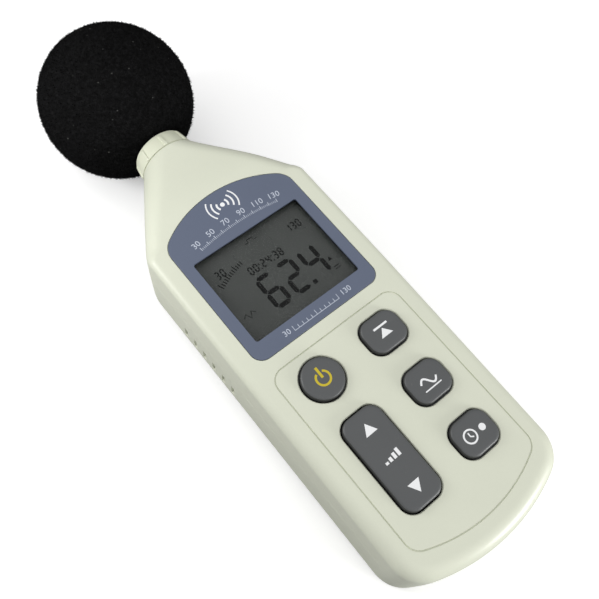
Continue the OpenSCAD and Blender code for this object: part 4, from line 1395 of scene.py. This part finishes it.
@dataclass
class Print:
    """Flat marks of one ink on one surface, built up as thin slabs."""

    name: str
    body: str
    finish: Finish
    height: float
    thickness: float = 0.02
    sunk: float = 0.004
    solid: Solid = field(default_factory=Solid)

    def patch(self, outline: Sequence[Sequence[float]] | Array) -> None:
        """Adds a filled outline."""
        low, high = self.height - self.sunk, self.height + self.thickness
        self.solid.prism(np.asarray(outline, dtype=float), low, high)

    def line(self, path: Sequence[Sequence[float]] | Array, width: float, closed: bool = False) -> None:
        """Adds a line of even width along a path, mitred at its bends.

        Each point is moved sideways by half the width along the mean of its two neighbours' normals.

        Args:
            path: Points of the line.
            width: Its width.
            closed: Whether the last point meets the first.
        """
        p = np.asarray(path, dtype=float)
        step = (np.roll(p, -1, 0) - np.roll(p, 1, 0)) if closed else np.gradient(p, axis=0)
        step /= np.maximum(np.linalg.norm(step, axis=1, keepdims=True), 1e-9)
        normal = np.column_stack([-step[:, 1], step[:, 0]]) * width / 2
        left, right = p + normal, p - normal
        low, high = self.height - self.sunk, self.height + self.thickness
        stack = np.stack([lift(left, low), lift(left, high), lift(right, high), lift(right, low)], axis=1)
        faces = grid_faces(len(p), 4, closed, True)
        if not closed:
            last = (len(p) - 1) * 4
            faces += [[0, 1, 2, 3], [last, last + 1, last + 2, last + 3]]
        self.solid.add(stack, faces)

    def digit(self, character: str, at: Sequence[float], height: float, weight: float) -> float:
        """Adds a seven segment figure, whose bars are hexagons with a small gap between them.

        Args:
            character: A figure, a colon or a point.
            at: Lower left corner.
            height: Height of the figure.
            weight: Width of its bars.

        Returns:
            How far the next character starts to the right.
        """
        width, half, gap, k = height * 0.5, height / 2, weight * 0.1, weight / 2
        if character in ".:":
            dot = np.array([(-k, -k), (k, -k), (k, k), (-k, k)]) * 0.95
            for up in (k, half + k * 2) if character == ":" else (k,):
                self.patch(dot + (at[0] + k, at[1] + up))
            return weight * 1.8
        left, right, top = k, width - k, height - k
        ends = {
            "a": ((left, top), (right, top)),
            "b": ((right, half), (right, top)),
            "c": ((right, k), (right, half)),
            "d": ((left, k), (right, k)),
            "e": ((left, k), (left, half)),
            "f": ((left, half), (left, top)),
            "g": ((left, half), (right, half)),
        }
        for bar in SEGMENTS[character]:
            a, b = np.array(ends[bar])
            along = (b - a) / np.linalg.norm(b - a)
            across = np.array([-along[1], along[0]]) * k
            a, b, inner = a + along * gap, b - along * gap, along * k
            corners = [a, a + inner - across, b - inner - across, b, b - inner + across, a + inner + across]
            self.patch(np.array(corners) + at)
        return width + weight * 0.9

    def figures(self, text: str, at: Sequence[float], height: float, weight: float) -> None:
        """Adds a row of seven segment figures.

        Args:
            text: The figures.
            at: Lower left corner of the first.
            height: Height of a figure.
            weight: Width of its bars.
        """
        x, y = at
        for character in text:
            x += self.digit(character, (x, y), height, weight)

    def number(self, text: str, centre: Sequence[float], size: float, lean: float = 0.0) -> None:
        """Adds a plain printed number, turned round its centre.

        Args:
            text: The number.
            centre: Its middle.
            size: Size of the type.
            lean: Degrees that it is turned by.
        """
        curve = bpy.data.curves.new("number", "FONT")
        curve.body, curve.size, curve.align_x, curve.align_y = text, size, "CENTER", "CENTER"
        curve.resolution_u, curve.extrude = 3, self.thickness / 2
        maker = bpy.data.objects.new("number", curve)
        bpy.context.scene.collection.objects.link(maker)
        ready = bpy.data.meshes.new_from_object(maker.evaluated_get(bpy.context.evaluated_depsgraph_get()))
        flat = np.empty(len(ready.vertices) * 3)
        ready.vertices.foreach_get("co", flat)
        x, y, z = flat.reshape(-1, 3).T
        c, s = turn(lean)
        turned = np.column_stack([x * c - y * s, x * s + y * c, z + self.thickness / 2])
        self.solid.add(turned + (*centre, self.height), [list(f.vertices) for f in ready.polygons])
        bpy.data.objects.remove(maker)
        bpy.data.curves.remove(curve)
        bpy.data.meshes.remove(ready)

    def done(self) -> None:
        """Makes the piece."""
        finish_piece(self.solid.piece(self.name, sharp=20), self.body, self.finish)


@dataclass(frozen=True)
class CurvedScale:
    """Even marks on an arc, with every few of them longer: start and step are in degrees."""

    middle: tuple[float, float]
    radius: float
    marks: int
    start: float
    step: float
    long_every: int
    long_mark: float
    short_mark: float
    long_width: float
    short_width: float

    def draw(self, ink: Print) -> None:
        """Adds the marks: mark i runs outwards from the arc at start - i * step.

        Args:
            ink: The print that the marks are added to.
        """
        for i in range(self.marks):
            long = i % self.long_every == 0
            out = turn(self.start - i * self.step)
            reach = self.radius + (self.long_mark if long else self.short_mark)
            ends = [self.middle + self.radius * out, self.middle + reach * out]
            ink.line(ends, self.long_width if long else self.short_width)


LEVEL_SCALE = CurvedScale((0.0, -70.0), 92.6, 51, 100.6, 21.2 / 50, 5, 1.5, 0.9, 0.24, 0.16)
BAR_SCALE = CurvedScale((0.0, -33.0), 43.0, 12, 116.5, 1.4, 4, 2.6, 1.7, 0.42, 0.42)


@dataclass
class Display:
    """The overlay with its print, and the picture on the liquid crystal cell."""

    face: float = 35.0
    cell_top: float = 32.3
    sheet_under: float = 0.7
    sheet_inset: float = 0.22
    wave_middle: tuple[float, float] = (0.0, 32.2)
    wave_radii: tuple[float, ...] = (2.2, 4.2, 6.2)
    wave_dot: float = 0.9
    first_level: int = 30
    level_step: int = 2
    number_size: float = 3.3
    number_out: float = 3.2
    rule_y: float = -22.9
    rule_marks: int = 11
    rule_pitch: float = 2.0
    reading_weight: float = 1.75
    reading_height: float = 14.6
    reading_y: float = -12.8
    small_height: float = 3.5
    small_weight: float = 0.55

    def build(self) -> None:
        """Makes the overlay, its print and the display's figures."""
        inset = -self.sheet_inset
        levels = ((inset, self.face - self.sheet_under), (inset, self.face - 0.1), (inset - 0.1, self.face))
        panel = Solid().loft([lift(PANEL.outline(grow), z) for grow, z in levels]).piece("overlay_sheet")
        tool = Solid().prism(rounded_rectangle(*WINDOW, WINDOW_CORNER), self.face - 2, self.face + 1)
        carve(panel, tool.piece("overlay_tool"))
        finish_piece(panel, "case", OVERLAY, "display_panel")
        self.overlay_print()
        self.picture()

    def overlay_print(self) -> None:
        """A sound wave mark over the window, and plain scales with numbers over and under it."""
        white = Print("overlay_mark", "case", WHITE_INK, self.face)
        for i, radius in enumerate(self.wave_radii):
            for start in (-38.0, 142.0):
                white.line(arc(self.wave_middle, radius, start, start + 76, 20), 0.75 - 0.1 * i)
        white.patch(disc(self.wave_dot, 24) + self.wave_middle)
        white.done()
        pale = Print("overlay_scale", "case", PALE_INK, self.face)
        LEVEL_SCALE.draw(pale)
        for i in range(0, LEVEL_SCALE.marks, 2 * LEVEL_SCALE.long_every):
            angle = LEVEL_SCALE.start - i * LEVEL_SCALE.step
            place = LEVEL_SCALE.middle + (LEVEL_SCALE.radius + self.number_out) * turn(angle)
            pale.number(str(self.first_level + self.level_step * i), place, self.number_size, angle - 90)
        half = self.rule_pitch * (self.rule_marks - 1) / 2
        for i in range(self.rule_marks):
            x = -half + i * self.rule_pitch
            pale.line([(x, self.rule_y + 0.1), (x, self.rule_y + (1.3 if i % 5 else 2.0))], 0.2)
        pale.line([(-half - 0.1, self.rule_y), (half + 0.1, self.rule_y)], 0.2)
        pale.number("30", (-12.9, self.rule_y + 1.0), 3.0)
        pale.number("130", (13.8, self.rule_y + 1.0), 3.0)
        pale.done()

    def picture(self) -> None:
        """A reading, a clock, two range numbers, a curved bar scale and four plain signs."""
        ink = Print("display_figures", "case", INK_LCD, self.cell_top, 0.03)
        for character, x in (("6", -9.3), ("2", 0.0), (".", 7.6), ("4", 9.5)):
            ink.digit(character, (x, self.reading_y), self.reading_height, self.reading_weight)
        ink.figures("00:24:38", (-8.4, 3.4), 3.6, self.small_weight)
        for text, x in (("30", -19.0), ("130", 13.4)):
            ink.figures(text, (x, 9.0), self.small_height, self.small_weight)
        BAR_SCALE.draw(ink)
        ink.line([(-20.6, -8.2), (-19.4, -7.0), (-18.2, -9.4), (-17.0, -7.0), (-15.8, -8.2)], 0.35)
        ink.patch([(17.6, -8.6), (19.4, -8.6), (18.5, -7.0)])
        for y in (-11.6, -12.6):
            ink.line([(17.6, y), (19.9, y)], 0.35)
        ink.line([(-2.6, 15.0), (-1.2, 15.0), (-1.2, 16.2), (1.2, 16.2), (1.2, 15.0), (2.6, 15.0)], 0.32)
        ink.done()


@dataclass
class KeySigns:
    """The plain signs on the keys: power, peak, curve, clock and dot, and up and down."""

    keypad: Keypad
    ring: float = 2.55
    clock_ring: float = 2.3
    arrow_half: float = 2.4
    bars: tuple[float, ...] = (0.9, 1.5, 2.1, 2.7)
    bar_width: float = 1.15
    bar_pitch: float = 1.75

    def build(self) -> None:
        """Prints each key's sign on its top."""
        places = dict(self.keypad.squares())
        self.power(*self.keypad.power)
        self.peak(*places["peak_key"])
        self.curve(*places["weighting_key"])
        self.clock(*places["response_key"])
        self.level(*self.keypad.rocker)

    def sign(self, name: str, body: str, finish: Finish = WHITE_INK) -> Print:
        """Starts the print of a sign on top of a key."""
        return Print(name, body, finish, self.keypad.face + self.keypad.proud)

    def power(self, x: float, y: float) -> None:
        """An open ring with a bar in its gap.

        Args:
            x: The key's middle, to the right.
            y: The key's middle, towards the microphone.
        """
        ink = self.sign("power_sign", "power_key", YELLOW_INK)
        ink.line(arc((x, y - 0.1), self.ring, 118, 422, 48), 0.8)
        ink.line([(x, y + 0.1), (x, y + 4.3)], 0.95)
        ink.done()

    def peak(self, x: float, y: float) -> None:
        """A triangle that points up to a bar.

        Args:
            x: The key's middle, to the right.
            y: The key's middle, towards the microphone.
        """
        ink = self.sign("peak_sign", "peak_key")
        ink.patch([(x - 2.5, y - 1.9), (x + 2.5, y - 1.9), (x, y + 1.3)])
        ink.line([(x - 3.0, y + 2.2), (x + 3.0, y + 2.2)], 0.75)
        ink.done()

    def curve(self, x: float, y: float) -> None:
        """One wave of a sine over a base line.

        Args:
            x: The key's middle, to the right.
            y: The key's middle, towards the microphone.
        """
        ink = self.sign("curve_sign", "weighting_key")
        t = np.linspace(0, 1, 33)
        ink.line(np.column_stack([x - 3.3 + 6.6 * t, y + 1.5 * np.sin(t * 2 * np.pi)]), 0.7)
        ink.line([(x - 3.6, y - 2.6), (x + 3.6, y - 2.6)], 0.45)
        ink.done()

    def clock(self, x: float, y: float) -> None:
        """A clock's face with two hands, and a dot to its right.

        Args:
            x: The key's middle, to the right.
            y: The key's middle, towards the microphone.
        """
        ink = self.sign("clock_sign", "response_key")
        middle = x - 2.2
        ink.line(arc((middle, y), self.clock_ring, 0, 360, 40)[:-1], 0.6, closed=True)
        ink.line([(middle, y + 1.4), (middle, y), (middle + 1.0, y - 0.7)], 0.5)
        ink.patch(disc(1.25, 28) + (x + 3.2, y))
        ink.done()

    def level(self, x: float, y: float) -> None:
        """An arrow up, rising bars and an arrow down.

        Args:
            x: The rocker's middle, to the right.
            y: The rocker's middle, towards the microphone.
        """
        ink = self.sign("level_signs", "level_rocker")
        half = self.arrow_half
        ink.patch([(x - half, y + 9.6), (x + half, y + 9.6), (x, y + 13.6)])
        ink.patch([(x - half, y - 10.0), (x, y - 14.0), (x + half, y - 10.0)])
        low = y - 1.2
        for i, tall in enumerate(self.bars):
            left = x - 3.2 + i * self.bar_pitch
            right = left + self.bar_width
            ink.patch([(left, low), (right, low), (right, low + tall), (left, low + tall)])
        ink.done()


# ---------------------------------------------------------------- the microphone


@dataclass
class Collar:
    """The ribbed collar that the microphone's tube comes out of."""

    shape: CaseShape
    tip_y: float = 75.2
    base_radius: float = 12.45
    tip_radius: float = 11.0
    tip_round: float = 0.8
    tip_draw: float = 0.9
    seam: float = 0.45
    seam_chamfer: float = 0.12
    ribs: int = 8
    rib_width: float = 1.6
    rib_height: float = 0.5
    rib_run_out: float = 0.1
    steps: int = 480
    bore: float = 7.6
    plug: float = 6.5
    skirt: float = 10.1
    waist: float = 9.2

    def build(self) -> None:
        """Turns the profile round the axis and raises the ribs on its outer wall.

        The wall's radius gets the rib's height times a smooth bell across the rib and along it.
        """
        t = np.linspace(0, 1, 15)
        neck_y = self.shape.neck_y
        start, end = neck_y + self.seam, self.tip_y - self.tip_round
        wall_y = start + (end - start) * t
        slope = (self.tip_radius - self.base_radius) / (self.tip_y - neck_y)
        wall_r = self.base_radius + slope * (wall_y - neck_y)
        q = np.radians(np.linspace(0, 90, 7))[1:]
        round_y = end + self.tip_round * np.sin(q)
        round_r = wall_r[-1] - self.tip_draw * (1 - np.cos(q))
        along = np.clip(np.minimum(t, 1 - t) / self.rib_run_out, 0, 1)
        rise = np.concatenate([np.zeros(3), along, np.zeros(len(q))])
        lip = [neck_y - 0.02, start - 0.05, start]
        reach = np.concatenate([lip, wall_y + (t == 0) * self.seam_chamfer, round_y])
        lip = [self.base_radius - 0.5, self.base_radius - 0.5, self.base_radius - 0.2]
        radius = np.concatenate([lip, wall_r, round_r])
        outer = radius[:, None] + self.rib_height * rise[:, None] * self.bell()[None]
        inner = np.array(
            [
                (self.bore, self.tip_y),
                (self.bore, 61.2),
                (self.plug, 61.2),
                (self.plug, 59.6),
                (self.skirt, 59.6),
                (self.skirt, 61.55),
                (self.waist, 61.55),
                (self.waist, 63.65),
                (self.skirt, 63.65),
                (self.skirt, neck_y - 0.02),
            ]
        )
        radii = np.concatenate([outer, np.repeat(inner[:, :1], self.steps, 1)])
        reaches = np.repeat(np.concatenate([reach, inner[:, 1]])[:, None], self.steps, 1)
        spokes = turn(self.angles())
        across, up = radii * spokes[:, 0], self.shape.axis_height + radii * spokes[:, 1]
        solid = Solid().add(np.stack([across, reaches, up], axis=-1), grid_faces(*radii.shape, True, True))
        finish_piece(solid.piece("ribbed_collar", sharp=38), "case", COLLAR, "nose_collar")

    def angles(self) -> Array:
        """The places round the axis, in degrees."""
        return np.arange(self.steps) * 360 / self.steps

    def bell(self) -> Array:
        """How far the ribs rise at each place round the axis: 1 on a rib, falling as a sixth power.

        Returns:
            A share from 0 to 1 for each place.
        """
        pitch = 360 / self.ribs
        off = np.abs((self.angles() + pitch / 2) % pitch - pitch / 2) * math.pi / 180 * self.base_radius
        return np.clip(1.15 - (off / (self.rib_width / 2)) ** 6, 0, 1)


@dataclass
class Windscreen:
    """The foam ball, cut from open cell foam, with the bore that grips the microphone."""

    shape: CaseShape
    centre_y: float = 105.41
    radius: float = 31.4
    bore: float = 6.65
    bore_end: float = 112.5
    seat_y: float = 75.5
    steps: int = 380
    rows: int = 226
    nap: float = 0.45
    tips: int = 6500
    tip_width: tuple[float, float] = (0.25, 0.5)
    tip_length: tuple[float, float] = (0.2, 1.0)
    tip_lean: float = 0.18
    tip_depth: float = 0.3
    seed: int = 11

    def build(self) -> None:
        """Turns the closed profile round the microphone's axis and roughens the outer skin.

        Each point of the skin sinks by a seeded random share of the nap, and the torn ends of the
        foam's strands stand out of it.
        """
        polar = np.linspace(math.acos((self.seat_y - self.centre_y) / self.radius), 0, self.rows)
        skin = np.column_stack([self.radius * np.sin(polar), self.centre_y + self.radius * np.cos(polar)])
        mouth = np.array([(0.0, self.bore_end), (self.bore, self.bore_end), (self.bore, self.seat_y)])
        profile = np.concatenate([mouth, skin])
        stagger = np.arange(len(profile))[:, None] % 2 * 0.5
        angle = (np.arange(self.steps)[None] + stagger) * 2 * math.pi / self.steps
        radii = np.repeat(profile[:, :1], self.steps, 1)
        reaches = np.repeat(profile[:, 1:], self.steps, 1)
        random = np.random.default_rng(self.seed)
        sink = random.random(radii.shape) * self.nap
        sink[: len(mouth) + 1] = 0
        sink[-1] = sink[-1, 0]
        share = 1 - sink / self.radius
        radii = radii * share
        reaches = self.centre_y + (reaches - self.centre_y) * share
        across, up = radii * np.cos(angle), self.shape.axis_height + radii * np.sin(angle)
        solid = Solid().add(np.stack([across, reaches, up], axis=-1), grid_faces(*radii.shape, False, True))
        self.strands(solid, random)
        ball = solid.piece("foam_ball", sharp=80)
        finish_piece(ball, "windscreen", FOAM, "windscreen")

    def strands(self, solid: Solid, random: np.random.Generator) -> None:
        """Adds torn strand ends: thin three-sided spikes whose feet lie under the skin.

        Directions are spread evenly by the golden angle and leave the mouth free. A spike's foot has
        three points round its direction, and its tip leans off by a random amount.

        Args:
            solid: What the spikes are added to.
            random: The seeded source of the random lengths, widths and leans.
        """
        n = self.tips
        mouth = (self.seat_y - self.centre_y) / self.radius
        along = mouth + 0.01 + (0.99 - mouth) * (np.arange(n) + 0.5) / n
        golden = math.pi * (3 - math.sqrt(5))
        around = np.arange(n) * golden + random.normal(0, 0.02, n)
        ring = np.sqrt(1 - along**2)
        out = np.stack([ring * np.cos(around), along, ring * np.sin(around)], axis=-1)
        side = np.cross(out, (0.31, 0.87, 0.38))
        side /= np.linalg.norm(side, axis=1, keepdims=True)
        third = np.cross(out, side)
        width = random.uniform(*self.tip_width, (n, 1))
        length = random.uniform(*self.tip_length, (n, 1))
        lean = side * random.normal(0, self.tip_lean, (n, 1))
        lean = lean + third * random.normal(0, self.tip_lean, (n, 1))
        foot = out * (self.radius - self.nap - self.tip_depth)
        corners = [foot + width * (side * math.cos(a) + third * math.sin(a)) for a in (0.0, 2.09, 4.19)]
        tip = out * (self.radius - 0.1 + length) + lean
        points = np.stack([*corners, tip], axis=1) + (0, self.centre_y, self.shape.axis_height)
        first = np.arange(n)[:, None, None] * 4
        faces = (first + np.array([[0, 1, 3], [1, 2, 3], [2, 0, 3], [0, 2, 1]])).reshape(-1, 3)
        solid.add(points, faces.tolist())


# ---------------------------------------------------------------- the studio


@dataclass(frozen=True)
class SoftBox:
    """A round soft light that points at the origin: place and size in millimetres, power in watts."""

    name: str
    at: tuple[float, float, float]
    size: float
    power: float

    def hang(self) -> None:
        """Adds the light to the scene."""
        lamp = bpy.data.lights.new(self.name, "AREA")
        lamp.shape, lamp.size, lamp.energy = "DISK", self.size * MM, self.power
        holder = bpy.data.objects.new(self.name, lamp)
        holder.location = Vector(self.at) * MM
        holder.rotation_euler = (-holder.location).to_track_quat("-Z", "Y").to_euler()
        bpy.context.scene.collection.objects.link(holder)


@dataclass
class Studio:
    """Floor, lights and camera."""

    camera_at: tuple[float, float, float] = (-80.70, -83.60, 267.01)
    camera_turn: tuple[float, float, float] = (23.95826, -4.38443, -39.23088)
    lens: float = 43.64
    floor_tilt: float = 3.1
    floor_half: float = 2500.0
    heel_y: float = -116.5
    floor_drop: float = 0.25
    floor_bounce: float = 0.38
    floor_pale: float = 0.95
    glow_near: float = 0.24
    glow_rise: float = 0.3
    glow_reach: tuple[float, float] = (0.11, 0.36)
    sky_low: float = 0.2
    sky_rise: float = 0.84
    boxes: tuple[SoftBox, ...] = (
        SoftBox("Soft box right", (270, -675, 130), 260, 3.5),
        SoftBox("Soft box left", (-190, 150, 130), 120, 0.35),
    )

    def build(self) -> None:
        """Sets the floor under the ball and the lower end, then the lights and the camera."""
        self.floor()
        self.surround()
        for box in self.boxes:
            box.hang()
        bpy.context.scene.view_settings.view_transform = "Standard"
        self.camera()

    def floor(self) -> None:
        """A wide pale sheet that touches the back edge of the lower end and the foam ball.

        Light that it throws back is dimmer than it looks, so that it doesn't fill every shade.
        """
        slope = math.tan(math.radians(self.floor_tilt))
        far = self.floor_half
        near_z, far_z = (-(y - self.heel_y) * slope - self.floor_drop for y in (-far, far))
        corners = [(-far, -far, near_z), (far, -far, near_z), (far, far, far_z), (-far, far, far_z)]
        sheet = Solid().add(np.array(corners, dtype=float), [[0, 1, 2, 3]]).piece("studio_floor")
        paper = bpy.data.materials.new("Studio paper")
        paper.use_nodes = True
        bench = Bench(paper.node_tree)
        seen = bench.node("ShaderNodeLightPath").outputs["Is Camera Ray"]
        shader = paper.node_tree.nodes["Principled BSDF"]
        shader.inputs["Roughness"].default_value = 0.9
        shader.inputs["Specular IOR Level"].default_value = 0.0
        shader.inputs["Emission Color"].default_value = (1.0, 1.0, 1.0, 1.0)
        dim, pale = ((*[grey] * 3, 1.0) for grey in (self.floor_bounce, self.floor_pale))
        bench.join(bench.blend(seen, dim, pale), shader.inputs["Base Color"])
        place = bench.node("ShaderNodeTexCoord").outputs["Object"]
        reach = bench.node("ShaderNodeVectorMath", {0: place}, operation="LENGTH").outputs["Value"]
        rise = bench.maths("MULTIPLY", bench.ramp(reach, *self.glow_reach), self.glow_rise)
        glow = bench.maths("MULTIPLY", seen, bench.maths("ADD", rise, self.glow_near))
        bench.join(glow, shader.inputs["Emission Strength"])
        sheet.data.materials.append(paper)

    def surround(self) -> None:
        """A white surround that is brightest overhead, and even behind the object."""
        world = bpy.data.worlds.new("Studio")
        world.use_nodes = True
        bench = Bench(world.node_tree)
        way = bench.node("ShaderNodeTexCoord").outputs["Generated"]
        up = bench.ramp(bench.node("ShaderNodeSeparateXYZ", {0: way}).outputs["Z"], 0.0, 1.0)
        seen = bench.node("ShaderNodeLightPath").outputs["Is Camera Ray"]
        low = bench.maths("MAXIMUM", seen, self.sky_low)
        glow = bench.maths("ADD", bench.maths("MULTIPLY", up, self.sky_rise), low)
        sky = world.node_tree.nodes["Background"]
        sky.inputs["Color"].default_value = (1.0, 1.0, 1.0, 1.0)
        bench.join(glow, sky.inputs["Strength"])
        bpy.context.scene.world = world

    def camera(self) -> None:
        """The view of the face from below and from the left."""
        lens = bpy.data.cameras.new("Camera")
        lens.lens, lens.sensor_width, lens.clip_start, lens.clip_end = self.lens, 36.0, 0.01, 20.0
        camera = bpy.data.objects.new("Camera", lens)
        camera.location = Vector(self.camera_at) * MM
        camera.rotation_euler = Euler([math.radians(a) for a in self.camera_turn], "XYZ")
        bpy.context.scene.collection.objects.link(camera)
        bpy.context.scene.camera = camera


def dress_frame() -> None:
    """Gives each CAD node that stays in sight its own finish."""
    for node, finish in CAD_FINISHES.items():
        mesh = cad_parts[node].data
        mesh.materials.clear()
        mesh.materials.append(finish.material())
        mesh.polygons.foreach_set("material_index", np.zeros(len(mesh.polygons), dtype=np.int32))


def main() -> None:
    """Builds the sub-assemblies in order and reports each."""
    logging.basicConfig(level=logging.INFO, format="%(message)s")
    shape = CaseShape()
    keypad = Keypad()
    door = BatteryDoor(shape)
    dress_frame()
    for part in (
        Studio(),
        Shells(shape, keypad, door),
        door,
        keypad,
        Display(),
        Collar(shape),
        Windscreen(shape),
        KeySigns(keypad),
    ):
        log.info("building %s", type(part).__name__)
        part.build()


if __name__ == "__main__":
    main()
